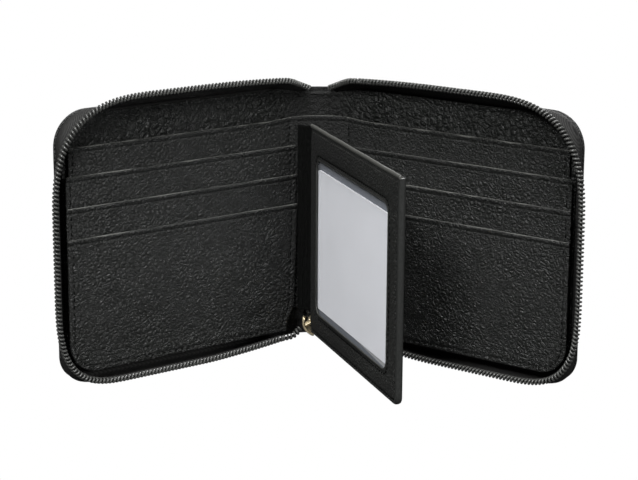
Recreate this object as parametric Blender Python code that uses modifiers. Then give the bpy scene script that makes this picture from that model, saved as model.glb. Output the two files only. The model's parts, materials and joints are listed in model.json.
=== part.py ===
"""Zip-around leather wallet, standing open on its lower edge, with an ID-window flap in its fold.

The wallet is three leaves on one spine: a left cover, a right cover and a windowed flap between
them. +Z is up, the open side faces -Y, and the spine is at +Y. Metres throughout.
"""
import math

import bmesh
import bpy
from mathutils import Matrix, Vector

MM = 0.001

# Covers: each swings on an upright axis at its end of the spine.
AXIS_X = 8.8 * MM          # half the distance between the two fold axes
AXIS_Y = 6.1 * MM
COVER_ANGLE = math.radians(37)   # each cover from the X axis, towards the open side
COVER_INNER = 1.6 * MM     # outer leather starts this far from the fold axis
COVER_OUTER = 103.3 * MM
COVER_BOTTOM = 0.9 * MM
COVER_TOP = 100.2 * MM
COVER_CORNERS = (10 * MM, 13 * MM)   # lower and upper

# Layers of a cover as (front face, thickness), measured from the fold axis towards the inside.
LEATHER_LAYER = (-2.4 * MM, 1.2 * MM)
BOARD_LAYER = (-1.5 * MM, 0.6 * MM)
LINING_LAYER = (-0.5 * MM, 0.7 * MM)
POCKET_LEATHER = 0.8 * MM
POCKET_STEP = 1.1 * MM     # each pocket lies this far in front of the one behind it
POCKET_FRONT = 5.1 * MM    # front face of the lowest, foremost pocket

# Card pockets: one back leaf and three shorter leaves in front of it, each with its top and outer edge.
POCKET_INNER = 3.4 * MM
POCKET_BOTTOM = 5.7 * MM
POCKET_TOP = 87.5 * MM
POCKETS = {"pocket_back": (POCKET_TOP, 100.2 * MM), "card_pocket_upper": (77.4 * MM, 102.0 * MM),
           "card_pocket_middle": (66.3 * MM, 102.6 * MM), "card_pocket_lower": (55.2 * MM, 103.0 * MM)}
POCKET_SLANT = 2.3 * MM    # the inner edge leans outwards towards the bottom
NOTCH_WIDTH = 4.4 * MM     # room for the zip slider beside the spine
NOTCH_HEIGHT = 13 * MM
NOTCH_SHOULDER = 8 * MM
POCKET_CORNER = 11 * MM

LINING_INNER = 0.5 * MM
LINING_OUTER = 101.5 * MM
LINING_BOTTOM = 4.0 * MM
LINING_TOP = 98.9 * MM
LINING_CORNER = 14 * MM
BOARD_INSET = 7 * MM

# Zip: the tape is sewn behind the lining and flares out to the coil.
ZIP_START = 11 * MM        # distance from the fold axis where the stiff run of zip begins
TAPE_THICKNESS = 0.5 * MM
TAPE_ROOT_DEPTH = -2.05 * MM
COIL_DEPTH = 5.9 * MM
COIL_RADIUS = 1.1 * MM
COIL_OUTER = 108.2 * MM
COIL_BOTTOM = COIL_RADIUS
COIL_TOP = 104.35 * MM
COIL_CORNERS = ((30.2 * MM, 36.9 * MM, 3.3), (42.2 * MM, 42.35 * MM, 2.85))
COIL_END_RISE = 2.3 * MM   # the coil leaves the standing surface towards the spine
COIL_END_DROP = 1.0 * MM   # and dips towards the spine along the top
COIL_END_LENGTH = 35 * MM
TAPE_BULGE = (104.6 * MM, 1.0 * MM, 101.0 * MM)   # outer, bottom and top of its fullest line
TAPE_BULGE_DEPTH = 2.0 * MM
TAPE_EDGE_DEPTH = 4.9 * MM
TAPE_BULGE_CORNERS = ((14 * MM, 15 * MM, 2.6), (20 * MM, 18 * MM, 2.6))
TAPE_STEPS = 52

# Spine pieces, as plan arcs: half width, end y, middle y, thickness, bottom, top.
SPINE_LEATHER = (9.4 * MM, 8.9 * MM, 10.3 * MM, 1.2 * MM, 1.4 * MM, 98.6 * MM)
SPINE_LINING = (8.8 * MM, 7.1 * MM, 8.9 * MM, 0.7 * MM, 12 * MM, 96.7 * MM)
SPINE_DIVIDER = (6.4 * MM, 3.2 * MM, 3.6 * MM, 0.8 * MM, 13.5 * MM, 88.4 * MM)

# Flap with the ID window.
FLAP_X = -2.0 * MM
FLAP_Y = -1.6 * MM
FLAP_ANGLE = math.radians(70.9)
FLAP_DROOP = math.radians(0.53)   # the free end hangs a little, about mid height
FLAP_MIDDLE = 45 * MM
FLAP_ROOT = 1.0 * MM
FLAP_WIDTH = 92 * MM
FLAP_BOTTOM = 4.9 * MM
FLAP_TOP = 86.5 * MM
FLAP_THICKNESS = 2.6 * MM
FLAP_LEATHER = 0.65 * MM
FLAP_CORNER = 3 * MM
BINDING_WIDTH = 1.5 * MM
WINDOW_LEFT = 6.9 * MM
WINDOW_RIGHT = 81.5 * MM
WINDOW_BOTTOM = 14.6 * MM
WINDOW_TOP = 74.4 * MM
WINDOW_CORNER = 4 * MM
FILM_THICKNESS = 0.25 * MM
FILM_MARGIN = 4 * MM

# Identity card, the standard size of bank and ID cards.
CARD_WIDTH = 85.6 * MM
CARD_HEIGHT = 54.0 * MM
CARD_THICKNESS = 0.76 * MM
CARD_CORNER = 3.18 * MM
CARD_LEFT = 4.3 * MM
CARD_BOTTOM = 16.2 * MM

# Zip slider, parked in the foot of the spine with its nose to the open side, and its pull tab.
SLIDER_PLACE = (-3.8 * MM, 3.1 * MM, 7.7 * MM)
SLIDER_ROLL = math.radians(62.5)   # the wings slope down to the right
SLIDER_LENGTH = 7.0 * MM
SLIDER_NOSE_WIDTH = 8.2 * MM
SLIDER_TAIL_WIDTH = 5.4 * MM
WING_THICKNESS = 0.8 * MM
WING_GAP = 1.9 * MM
BRIDGE_REACH = 3.9 * MM
BRIDGE_RADIUS = 0.55 * MM
TAB_BACK = 0.6 * MM        # the tab hangs this far in front of the slider's middle
TAB_ANGLE = math.radians(60)
TAB_LENGTH = 8.8 * MM
TAB_WIDTH = 3.0 * MM
TAB_THICKNESS = 0.8 * MM

CLEARANCE = 0.3 * MM
ARC_STEPS = 8

BLACK_LEATHER = ("black_leather", (0.028, 0.028, 0.029), 0.48, 0.0)
BLACK_LINING = ("black_lining_leather", (0.03, 0.03, 0.031), 0.55, 0.0)
BOARD_GREY = ("stiffener_board", (0.32, 0.31, 0.29), 0.9, 0.0)
TAPE_BLACK = ("zip_tape", (0.022, 0.022, 0.023), 0.85, 0.0)
COIL_BLACK = ("zip_coil", (0.05, 0.05, 0.052), 0.32, 0.0)
CLEAR_FILM = ("window_film", (0.75, 0.78, 0.8), 0.08, 0.0)
CARD_WHITE = ("card_white", (0.83, 0.84, 0.86), 0.4, 0.0)
PALE_GOLD = ("slider_gold", (0.83, 0.72, 0.5), 0.25, 1.0)


def start_empty():
    for old in list(bpy.data.objects):
        bpy.data.objects.remove(old, do_unlink=True)


def new_collection(name):
    collection = bpy.data.collections.new(name)
    bpy.context.scene.collection.children.link(collection)
    return collection


def material(look):
    name, color, roughness, metallic = look
    found = bpy.data.materials.get(name)
    if found:
        return found
    made = bpy.data.materials.new(name)
    made.use_nodes = True
    shader = made.node_tree.nodes["Principled BSDF"]
    shader.inputs["Base Color"].default_value = (*color, 1.0)
    shader.inputs["Roughness"].default_value = roughness
    shader.inputs["Metallic"].default_value = metallic
    made.diffuse_color = (*color, 1.0)
    return made


def place(obj, look, collection, parent):
    collection.objects.link(obj)
    obj.data.materials.append(material(look))
    obj.parent = parent
    return obj


def empty(name, collection, parent, location, turn=(0, 0, 0)):
    made = bpy.data.objects.new(name, None)
    made.empty_display_size = 0.01
    collection.objects.link(made)
    made.parent = parent
    made.location = location
    made.rotation_euler = turn
    return made


def arc(center, radius, start, end, steps=ARC_STEPS):
    """Points on an arc, with the angles in degrees."""
    points = []
    for step in range(steps + 1):
        angle = math.radians(start + (end - start) * step / steps)
        points.append((center[0] + radius * math.cos(angle), center[1] + radius * math.sin(angle)))
    return points


def rounded_box(left, bottom, right, top, radius):
    """Anticlockwise outline with four equal round corners."""
    return (arc((right - radius, bottom + radius), radius, -90, 0)
            + arc((right - radius, top - radius), radius, 0, 90)
            + arc((left + radius, top - radius), radius, 90, 180)
            + arc((left + radius, bottom + radius), radius, 180, 270))


def outer_rounded(left, bottom, right, top, low_radius, high_radius):
    """Outline square at its left end and round at its two right corners."""
    points = [(left, bottom)] + arc((right - low_radius, bottom + low_radius), low_radius, -90, 0)
    points += arc((right - high_radius, top - high_radius), high_radius, 0, 90)
    return points + [(left, top)]


def flat_curve(name, outlines, thickness):
    """A flat sheet in the curve's XY plane, centred on it; further outlines are holes."""
    curve = bpy.data.curves.new(name, "CURVE")
    curve.dimensions = "2D"
    curve.fill_mode = "BOTH"
    curve.extrude = thickness / 2
    curve.resolution_u = 1
    for outline in outlines:
        spline = curve.splines.new("POLY")
        spline.points.add(len(outline) - 1)
        for point, (x, y) in zip(spline.points, outline):
            point.co = (x, y, 0, 1)
        spline.use_cyclic_u = True
    return bpy.data.objects.new(name, curve)


def upright_sheet(name, outlines, layer, look, collection, parent, side=1):
    """A sheet standing in its parent's XZ plane. layer is (front face, thickness), front at -Y."""
    front, thickness = layer
    mirrored = [[(side * x, z) for x, z in outline] for outline in outlines]
    sheet = flat_curve(name, mirrored, thickness)
    sheet.rotation_euler = (math.pi / 2, 0, 0)
    sheet.location = (0, -(front - thickness / 2), 0)
    return place(sheet, look, collection, parent)


def upright_prism(name, plan, bottom, top, look, collection, parent):
    """A plan outline in XY extruded from bottom to top."""
    prism = flat_curve(name, [plan], top - bottom)
    prism.location = (0, 0, (bottom + top) / 2)
    return place(prism, look, collection, parent)


def round_wire(name, points, radius, look, collection, parent):
    curve = bpy.data.curves.new(name, "CURVE")
    curve.dimensions = "3D"
    curve.bevel_depth = radius
    curve.bevel_resolution = 2
    curve.use_fill_caps = True
    spline = curve.splines.new("POLY")
    spline.points.add(len(points) - 1)
    for point, co in zip(spline.points, points):
        point.co = (*co, 1)
    return place(bpy.data.objects.new(name, curve), look, collection, parent)


def smooth_line(points, steps):
    """Catmull-Rom points through the given ones."""
    padded = [points[0]] + points + [points[-1]]
    line = []
    for index in range(1, len(padded) - 2):
        before, start, end, after = (Vector(padded[index + k]) for k in (-1, 0, 1, 2))
        for step in range(steps):
            t = step / steps
            line.append(tuple(0.5 * (2 * start + (end - before) * t
                                     + (2 * before - 5 * start + 4 * end - after) * t ** 2
                                     + (3 * start - before - 3 * end + after) * t ** 3)))
    return line + [tuple(points[-1])]


def cover_point(side, along, depth, height):
    """A point of a cover, in the wallet's own frame."""
    x = AXIS_X + along * math.cos(COVER_ANGLE) - depth * math.sin(COVER_ANGLE)
    y = AXIS_Y - along * math.sin(COVER_ANGLE) - depth * math.cos(COVER_ANGLE)
    return (side * x, y, height)


def corner_bend(center, corner, start, end, steps=12):
    """Points round a soft corner, from its reach across, its reach up and its fullness (2 is round)."""
    across, up, fullness = corner
    points = []
    for step in range(steps + 1):
        angle = math.radians(start + (end - start) * step / steps)
        bend = [math.copysign(abs(wave) ** (2 / fullness), wave)
                for wave in (math.cos(angle), math.sin(angle))]
        points.append((center[0] + across * bend[0], center[1] + up * bend[1]))
    return points


def rim_run(outer, bottom, top, low_corner, high_corner, rise=0.0, drop=0.0):
    """The run of the rim from the spine along the bottom, up the free edge and back along the top."""
    straight = 9
    low_center = (outer - low_corner[0], bottom + low_corner[1])
    high_center = (outer - high_corner[0], top - high_corner[1])

    def end_share(u):
        return max(0.0, 1 - (u - ZIP_START) / COIL_END_LENGTH)

    points = []
    for step in range(straight):
        u = ZIP_START + (low_center[0] - ZIP_START) * step / straight
        points.append((u, bottom + rise * end_share(u) ** 1.5))
    points += corner_bend(low_center, low_corner, -90, 0)
    points.append((outer, (low_center[1] + high_center[1]) / 2))
    points += corner_bend(high_center, high_corner, 0, 90)
    for step in range(1, straight + 1):
        u = high_center[0] + (ZIP_START - high_center[0]) * step / straight
        points.append((u, top - drop * end_share(u) ** 2))
    return points


def inset_corner(corner, inset):
    return (corner[0] - inset, corner[1] - inset, corner[2])


def coil_run(inset=0.0):
    low, high = (inset_corner(corner, inset) for corner in COIL_CORNERS)
    return rim_run(COIL_OUTER - inset, COIL_BOTTOM + inset, COIL_TOP - inset, low, high,
                   COIL_END_RISE, COIL_END_DROP)


def evenly(points, count):
    """The same line with its points spaced evenly along it."""
    reached = [0.0]
    for start, end in zip(points, points[1:]):
        reached.append(reached[-1] + math.dist(start, end))
    spaced, leg = [], 0
    for step in range(count):
        target = reached[-1] * step / (count - 1)
        while leg < len(points) - 2 and reached[leg + 1] < target:
            leg += 1
        share = (target - reached[leg]) / (reached[leg + 1] - reached[leg])
        (u, z), (next_u, next_z) = points[leg], points[leg + 1]
        spaced.append((u + (next_u - u) * share, z + (next_z - z) * share))
    return spaced


def zip_tape(name, side, collection, parent):
    """A band from the flat edge sewn behind the lining, bulging out and on to the coil."""
    def cover_run(inset):
        low, high = ((radius - inset, radius - inset, 2) for radius in COVER_CORNERS)
        return rim_run(COVER_OUTER - inset, COVER_BOTTOM + inset, COVER_TOP - inset, low, high)

    coil_inset = COIL_RADIUS + CLEARANCE + TAPE_THICKNESS
    runs = [(cover_run(5 * MM), TAPE_ROOT_DEPTH), (cover_run(0.9 * MM), TAPE_ROOT_DEPTH),
            (rim_run(*TAPE_BULGE, *TAPE_BULGE_CORNERS, COIL_END_RISE), TAPE_BULGE_DEPTH),
            (coil_run(coil_inset), TAPE_EDGE_DEPTH)]
    vertices, faces = [], []
    for run, depth in runs:
        vertices += [(side * u, -depth, z) for u, z in evenly(run, TAPE_STEPS)]
    for row in range(len(runs) - 1):
        for step in range(TAPE_STEPS - 1):
            corner = row * TAPE_STEPS + step
            face = (corner, corner + TAPE_STEPS, corner + TAPE_STEPS + 1, corner + 1)
            faces.append(face if side > 0 else face[::-1])
    mesh = bpy.data.meshes.new(name)
    mesh.from_pydata(vertices, [], faces)
    tape = place(bpy.data.objects.new(name, mesh), TAPE_BLACK, collection, parent)
    thicken = tape.modifiers.new("thickness", "SOLIDIFY")
    thicken.thickness = TAPE_THICKNESS
    thicken.offset = 0
    return tape


def pocket_outline(top, outer):
    """A pocket leaf, with its leaning inner edge and the slider's notch at the inner bottom."""
    def inner(height):
        return POCKET_INNER + POCKET_SLANT * (POCKET_TOP - height) / (POCKET_TOP - POCKET_BOTTOM)

    shoulder, notch_top = POCKET_BOTTOM + NOTCH_SHOULDER, POCKET_BOTTOM + NOTCH_HEIGHT
    notch = [(inner(notch_top), notch_top), (inner(shoulder) + NOTCH_WIDTH * 0.8, shoulder),
             (inner(POCKET_BOTTOM) + NOTCH_WIDTH, POCKET_BOTTOM)]
    foot = arc((outer - POCKET_CORNER, POCKET_BOTTOM + POCKET_CORNER), POCKET_CORNER, -90, 0)
    return notch + foot + [(outer, top), (inner(top), top)]


def build_cover(word, side, collection, wallet):
    turn = -side * COVER_ANGLE
    axis = empty(word + "_cover_axis", collection, wallet, (side * AXIS_X, AXIS_Y, 0), (0, 0, turn))

    def sheet(name, outline, layer, look):
        return upright_sheet(f"{word}_{name}", [outline], layer, look, collection, axis, side)

    sheet("cover_leather", outer_rounded(COVER_INNER, COVER_BOTTOM, COVER_OUTER, COVER_TOP,
                                         *COVER_CORNERS), LEATHER_LAYER, BLACK_LEATHER)
    sheet("cover_board", outer_rounded(COVER_INNER + 2 * MM, COVER_BOTTOM + BOARD_INSET,
                                       COVER_OUTER - BOARD_INSET, COVER_TOP - BOARD_INSET,
                                       *(radius - BOARD_INSET for radius in COVER_CORNERS)),
          BOARD_LAYER, BOARD_GREY)
    sheet("bill_lining", outer_rounded(LINING_INNER, LINING_BOTTOM, LINING_OUTER, LINING_TOP,
                                       LINING_CORNER, LINING_CORNER), LINING_LAYER, BLACK_LINING)
    for index, (name, (top, outer)) in enumerate(POCKETS.items()):
        front = POCKET_FRONT - POCKET_STEP * (len(POCKETS) - 1 - index)
        sheet(name, pocket_outline(top, outer), (front, POCKET_LEATHER), BLACK_LEATHER)
    zip_tape(word + "_zip_tape", side, collection, axis)
    coil = [(side * u, -COIL_DEPTH, z) for u, z in coil_run()]
    round_wire(word + "_zip_coil", coil, COIL_RADIUS, COIL_BLACK, collection, axis)


def plan_band(left, middle, right, thickness, steps=6):
    """A strip of even thickness through three plan points, bowed as a parabola."""
    outer, inner = [], []
    start, mid, end = Vector(left), Vector(middle), Vector(right)
    control = 2 * mid - (start + end) / 2
    for step in range(steps + 1):
        t = step / steps
        point = (1 - t) ** 2 * start + 2 * t * (1 - t) * control + t ** 2 * end
        along = 2 * (1 - t) * (control - start) + 2 * t * (end - control)
        across = Vector((-along.y, along.x)).normalized() * thickness / 2
        outer.append(tuple(point + across))
        inner.append(tuple(point - across))
    return inner + outer[::-1]


def build_spine(collection, wallet):
    for name, size, look in (("spine_leather", SPINE_LEATHER, BLACK_LEATHER),
                             ("spine_lining", SPINE_LINING, BLACK_LINING),
                             ("spine_divider", SPINE_DIVIDER, BLACK_LEATHER)):
        half, end_y, middle_y, thickness, bottom, top = size
        plan = plan_band((-half, end_y), (0, middle_y), (half, end_y), thickness)
        upright_prism(name, plan, bottom, top, look, collection, wallet)

    leather_middle = LEATHER_LAYER[0] - LEATHER_LAYER[1] / 2
    back_front = POCKET_FRONT - POCKET_STEP * (len(POCKETS) - 1)
    folds = (("leather_fold", SPINE_LEATHER, COVER_INNER, leather_middle, 1.0 * MM),
             ("divider_fold", SPINE_DIVIDER, POCKET_INNER + 0.2 * MM,
              back_front - POCKET_LEATHER / 2, 0.5 * MM))
    for word, side in (("left", -1), ("right", 1)):
        for name, size, along, depth, bow in folds:
            half, end_y, _, thickness, bottom, top = size
            x, y, _ = cover_point(1, along - CLEARANCE - thickness * 0.4, depth, 0)
            near = Vector((half + CLEARANCE, end_y - 0.1 * MM))
            far = Vector((x, y))
            middle = (near + far) / 2 + Vector((0.3, 1)).normalized() * bow * 0.3
            ends = [(side * p.x, p.y) for p in (near, middle, far)]
            plan = plan_band(*(ends if side > 0 else ends[::-1]), thickness)
            upright_prism(f"{word}_{name}", plan, bottom, top, BLACK_LEATHER, collection, wallet)

    hinge_plan = plan_band((-8.0 * MM, 0.9 * MM), (-5.4 * MM, -0.3 * MM), (-3.0 * MM, -2.1 * MM),
                           FLAP_LEATHER)
    upright_prism("flap_hinge_strip", hinge_plan, SPINE_DIVIDER[4], FLAP_TOP - 0.6 * MM,
                  BLACK_LEATHER, collection, wallet)


def build_flap(collection, wallet):
    """The flap lies in its axis empty's XZ plane, and its window faces -Y there."""
    lean = FLAP_MIDDLE * math.sin(FLAP_DROOP)
    foot = (FLAP_X - lean * math.cos(FLAP_ANGLE), FLAP_Y + lean * math.sin(FLAP_ANGLE), 0)
    axis = empty("id_flap_axis", collection, wallet, foot, (0, FLAP_DROOP, -FLAP_ANGLE))
    face = FLAP_THICKNESS / 2
    inner_right = FLAP_WIDTH - BINDING_WIDTH - CLEARANCE / 3
    inner_bottom = FLAP_BOTTOM + BINDING_WIDTH + CLEARANCE / 3
    corner = FLAP_CORNER - BINDING_WIDTH
    leaf = ([(FLAP_ROOT, inner_bottom)]
            + arc((inner_right - corner, inner_bottom + corner), corner, -90, 0)
            + [(inner_right, FLAP_TOP), (FLAP_ROOT, FLAP_TOP)])
    window = rounded_box(WINDOW_LEFT, WINDOW_BOTTOM, WINDOW_RIGHT, WINDOW_TOP, WINDOW_CORNER)
    upright_sheet("flap_window_frame", [leaf, window], (face, FLAP_LEATHER), BLACK_LEATHER, collection, axis)
    upright_sheet("flap_back_panel", [leaf], (FLAP_LEATHER - face, FLAP_LEATHER), BLACK_LEATHER,
                  collection, axis)

    bend = arc((FLAP_WIDTH - FLAP_CORNER, FLAP_BOTTOM + FLAP_CORNER), FLAP_CORNER, -90, 0)
    inside = arc((FLAP_WIDTH - FLAP_CORNER, FLAP_BOTTOM + FLAP_CORNER), corner, 0, -90)
    binding = ([(FLAP_ROOT, FLAP_BOTTOM)] + bend
               + [(FLAP_WIDTH, FLAP_TOP), (FLAP_WIDTH - BINDING_WIDTH, FLAP_TOP)]
               + inside + [(FLAP_ROOT, FLAP_BOTTOM + BINDING_WIDTH)])
    upright_sheet("flap_edge_binding", [binding], (face, FLAP_THICKNESS), BLACK_LEATHER, collection, axis)

    gap = (FLAP_THICKNESS - 2 * FLAP_LEATHER - FILM_THICKNESS - CARD_THICKNESS) / 3
    film_front = face - FLAP_LEATHER - gap
    film = rounded_box(WINDOW_LEFT - 1 * MM, WINDOW_BOTTOM - FILM_MARGIN,
                       WINDOW_RIGHT + FILM_MARGIN, WINDOW_TOP + FILM_MARGIN, 1 * MM)
    upright_sheet("window_film", [film], (film_front, FILM_THICKNESS), CLEAR_FILM, collection, axis)
    card = rounded_box(CARD_LEFT, CARD_BOTTOM, CARD_LEFT + CARD_WIDTH, CARD_BOTTOM + CARD_HEIGHT,
                       CARD_CORNER)
    upright_sheet("id_card", [card], (film_front - FILM_THICKNESS - gap, CARD_THICKNESS), CARD_WHITE,
                  collection, axis)


def as_mesh_object(obj, name, collection):
    """A curve object's closed mesh, in a new object with the same place."""
    bpy.context.view_layer.update()
    evaluated = obj.evaluated_get(bpy.context.evaluated_depsgraph_get())
    mesh = bpy.data.meshes.new_from_object(evaluated)
    weld(mesh)
    made = bpy.data.objects.new(name, mesh)
    made.parent, made.location, made.rotation_euler = obj.parent, obj.location, obj.rotation_euler
    collection.objects.link(made)
    bpy.data.objects.remove(obj, do_unlink=True)
    return made


def weld(mesh):
    shape = bmesh.new()
    shape.from_mesh(mesh)
    bmesh.ops.remove_doubles(shape, verts=shape.verts, dist=0.00001)
    bmesh.ops.recalc_face_normals(shape, faces=shape.faces)
    shape.to_mesh(mesh)
    shape.free()


def join_solids(base, others):
    for other in others:
        union = base.modifiers.new(other.name, "BOOLEAN")
        union.operation = "UNION"
        union.solver = "EXACT"
        union.object = other
        other.hide_render = True
        other.display_type = "WIRE"


def wing_outline():
    """A slider wing: wide and blunt at the nose, narrower at the tail."""
    half = SLIDER_LENGTH / 2
    tail, nose = SLIDER_TAIL_WIDTH / 2, SLIDER_NOSE_WIDTH / 2
    corner = 1.4 * MM
    return (arc((nose - corner, -half + corner), corner, -90, 0, 4)
            + arc((tail - corner, half - corner), corner, 15, 90, 4)
            + arc((corner - tail, half - corner), corner, 90, 165, 4)
            + arc((corner - nose, -half + corner), corner, 180, 270, 4))


def slider_turn():
    """The slider's own X runs down along the wings, its -Y to the bridge and its -Z to the nose."""
    along = Vector((math.cos(SLIDER_ROLL), 0, -math.sin(SLIDER_ROLL)))
    tail = Vector((0, 1, 0))
    return Matrix((along, tail.cross(along), tail)).transposed().to_euler()


def build_slider(collection, cutters, wallet):
    axis = empty("slider_axis", collection, wallet, SLIDER_PLACE, slider_turn())
    outer_front = WING_GAP / 2 + WING_THICKNESS
    wings = []
    for name, front in (("slider_body", outer_front), ("other_wing", -WING_GAP / 2)):
        sheet = upright_sheet(name + "_curve", [wing_outline()], (front, WING_THICKNESS), PALE_GOLD,
                              collection, axis)
        wings.append(as_mesh_object(sheet, name, collection if name == "slider_body" else cutters))
    overlap = 0.2 * MM
    nose_z = -SLIDER_LENGTH / 2
    diamond = [(0, nose_z + 0.3 * MM), (1.1 * MM, nose_z + 1.6 * MM),
               (0, nose_z + 3.4 * MM), (-1.1 * MM, nose_z + 1.6 * MM)]
    post = upright_sheet("post_curve", [diamond], (WING_GAP / 2 + overlap, WING_GAP + 2 * overlap),
                         PALE_GOLD, cutters, axis)
    reach, foot = -BRIDGE_REACH, -outer_front + overlap
    arch = smooth_line([(0, foot, 2.9 * MM), (0, reach + 0.5 * MM, 2.4 * MM), (0, reach, 1.2 * MM),
                        (0, reach, -1.9 * MM), (0, reach + 0.5 * MM, -2.6 * MM),
                        (0, foot, -2.8 * MM)], 4)
    bridge = round_wire("bridge_curve", arch, BRIDGE_RADIUS, PALE_GOLD, cutters, axis)
    body, other_wing = wings
    join_solids(body, [other_wing, as_mesh_object(post, "slider_post", cutters),
                       as_mesh_object(bridge, "slider_bridge", cutters)])

    x, y, z = SLIDER_PLACE
    bar = (x + BRIDGE_REACH * math.sin(SLIDER_ROLL), y - TAB_BACK, z + BRIDGE_REACH * math.cos(SLIDER_ROLL))
    tab_axis = empty("pull_tab_axis", collection, wallet, bar, (0, TAB_ANGLE, 0))
    eye = rounded_box(-0.95 * MM, -0.9 * MM, 1.6 * MM, 0.9 * MM, 0.89 * MM)
    half = TAB_WIDTH / 2
    outline = (arc((-0.3 * MM, 0), half, 90, 270, 8)
               + arc((TAB_LENGTH - 0.3 * MM - half, 0), half, -90, 90, 8))
    upright_sheet("pull_tab", [outline, eye], (TAB_THICKNESS / 2, TAB_THICKNESS), PALE_GOLD,
                  collection, tab_axis)


def build_zip_ends(collection, wallet):
    """The soft ends of the zip, from each cover's coil into the foot and the head of the spine."""
    rise = COIL_BOTTOM + COIL_END_RISE
    drop = COIL_TOP - COIL_END_DROP
    feet = {"left": [(-7.3 * MM, -2.6 * MM, 6.9 * MM), (-8.3 * MM, -3.0 * MM, 5.2 * MM),
                     (-10.3 * MM, -3.8 * MM, 3.9 * MM)],
            "right": [(1.0 * MM, 0.0, 5.3 * MM), (3.2 * MM, -1.2 * MM, 4.8 * MM),
                      (7.6 * MM, -3.2 * MM, 3.7 * MM)]}
    for word, side in (("left", -1), ("right", 1)):
        near = cover_point(side, ZIP_START - 2 * CLEARANCE, COIL_DEPTH, rise)
        foot = smooth_line(feet[word] + [near], 4)
        round_wire(word + "_zip_foot", foot, COIL_RADIUS, COIL_BLACK, collection, wallet)
        near = cover_point(side, ZIP_START - CLEARANCE, COIL_DEPTH, drop)
        bend = [cover_point(side, along * MM, depth * MM, drop - fall * MM)
                for along, depth, fall in ((0.5, 2.6, 2.75), (4.0, 4.4, 1.45), (7.5, 5.6, 0.45))]
        head = smooth_line([(side * 4.0 * MM, 7.7 * MM, 98.6 * MM)] + bend + [near], 4)
        round_wire(word + "_zip_head", head, COIL_RADIUS, COIL_BLACK, collection, wallet)
    x, y, z = SLIDER_PLACE
    tail = y + SLIDER_LENGTH / 2
    chain = smooth_line([(x, tail + 0.8 * MM, z - 1.0 * MM), (x - 0.1 * MM, tail + 1.3 * MM, z - 0.7 * MM),
                         (x - 0.2 * MM, tail + 1.5 * MM, z + 0.8 * MM),
                         (x - 0.3 * MM, tail + 1.5 * MM, z + 3.0 * MM)], 4)
    round_wire("zip_closed_end", chain, 1.0 * MM, COIL_BLACK, collection, wallet)


def centre_on_floor(wallet, collection):
    """Moves the wallet so that the middle of its box's underside is at the origin."""
    bpy.context.view_layer.update()
    graph = bpy.context.evaluated_depsgraph_get()
    corners = []
    for obj in collection.objects:
        if obj.type == "EMPTY":
            continue
        evaluated = obj.evaluated_get(graph)
        mesh = evaluated.to_mesh()
        corners += [evaluated.matrix_world @ vertex.co for vertex in mesh.vertices]
        evaluated.to_mesh_clear()
    low = Vector([min(c[axis] for c in corners) for axis in range(3)])
    high = Vector([max(c[axis] for c in corners) for axis in range(3)])
    wallet.location = (-(low.x + high.x) / 2, -(low.y + high.y) / 2, -low.z)


def main():
    start_empty()
    parts = new_collection("zip_wallet")
    cutters = new_collection("cutters")
    wallet = empty("wallet", parts, None, (0, 0, 0))
    build_spine(parts, wallet)
    build_cover("left", -1, parts, wallet)
    build_cover("right", 1, parts, wallet)
    build_flap(parts, wallet)
    build_slider(parts, cutters, wallet)
    build_zip_ends(parts, wallet)
    centre_on_floor(wallet, parts)


main()
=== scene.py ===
import json
import math

import bmesh
import bpy
import numpy as np
from mathutils import Matrix, Vector


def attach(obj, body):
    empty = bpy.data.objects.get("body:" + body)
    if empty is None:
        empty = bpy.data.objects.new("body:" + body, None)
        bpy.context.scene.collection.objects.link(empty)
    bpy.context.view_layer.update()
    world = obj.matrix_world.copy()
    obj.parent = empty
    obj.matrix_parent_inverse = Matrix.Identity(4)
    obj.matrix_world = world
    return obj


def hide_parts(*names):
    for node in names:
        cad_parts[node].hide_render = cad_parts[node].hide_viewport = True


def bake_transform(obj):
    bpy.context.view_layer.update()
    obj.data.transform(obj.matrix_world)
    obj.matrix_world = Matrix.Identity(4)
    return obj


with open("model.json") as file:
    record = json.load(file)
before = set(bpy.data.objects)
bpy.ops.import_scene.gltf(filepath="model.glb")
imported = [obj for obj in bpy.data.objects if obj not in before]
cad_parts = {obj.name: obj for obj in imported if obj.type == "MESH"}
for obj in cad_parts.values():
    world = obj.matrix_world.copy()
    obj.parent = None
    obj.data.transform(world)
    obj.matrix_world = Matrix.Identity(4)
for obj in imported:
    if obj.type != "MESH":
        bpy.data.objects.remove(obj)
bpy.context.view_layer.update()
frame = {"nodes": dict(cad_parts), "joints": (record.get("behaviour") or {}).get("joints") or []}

# Lengths are millimetres in the wallet's own frame, except in materials and on the stage.
JOINTS = {joint["name"]: joint for joint in frame["joints"]}
NODES = frame["nodes"]
AXIS_X = JOINTS["right_cover_fold"]["pos_m"][0] * 1000
AXIS_Y = 6.1
SHIFT_Y = JOINTS["right_cover_fold"]["pos_m"][1] * 1000 - AXIS_Y
COVER_ANGLE = math.radians(37)
COS, SIN = math.cos(COVER_ANGLE), math.sin(COVER_ANGLE)
FLAP_X = JOINTS["id_flap_fold"]["pos_m"][0] * 1000
FLAP_Y = JOINTS["id_flap_fold"]["pos_m"][1] * 1000 - SHIFT_Y
FLAP_ANGLE = math.radians(70.9)
FLAP_DROOP = math.radians(0.53)
FLAP_MIDDLE = 45.0
SIDES = (("left", -1), ("right", 1))
QUARTER = math.pi / 2
BLEND_HEIGHT = 50.0

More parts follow.
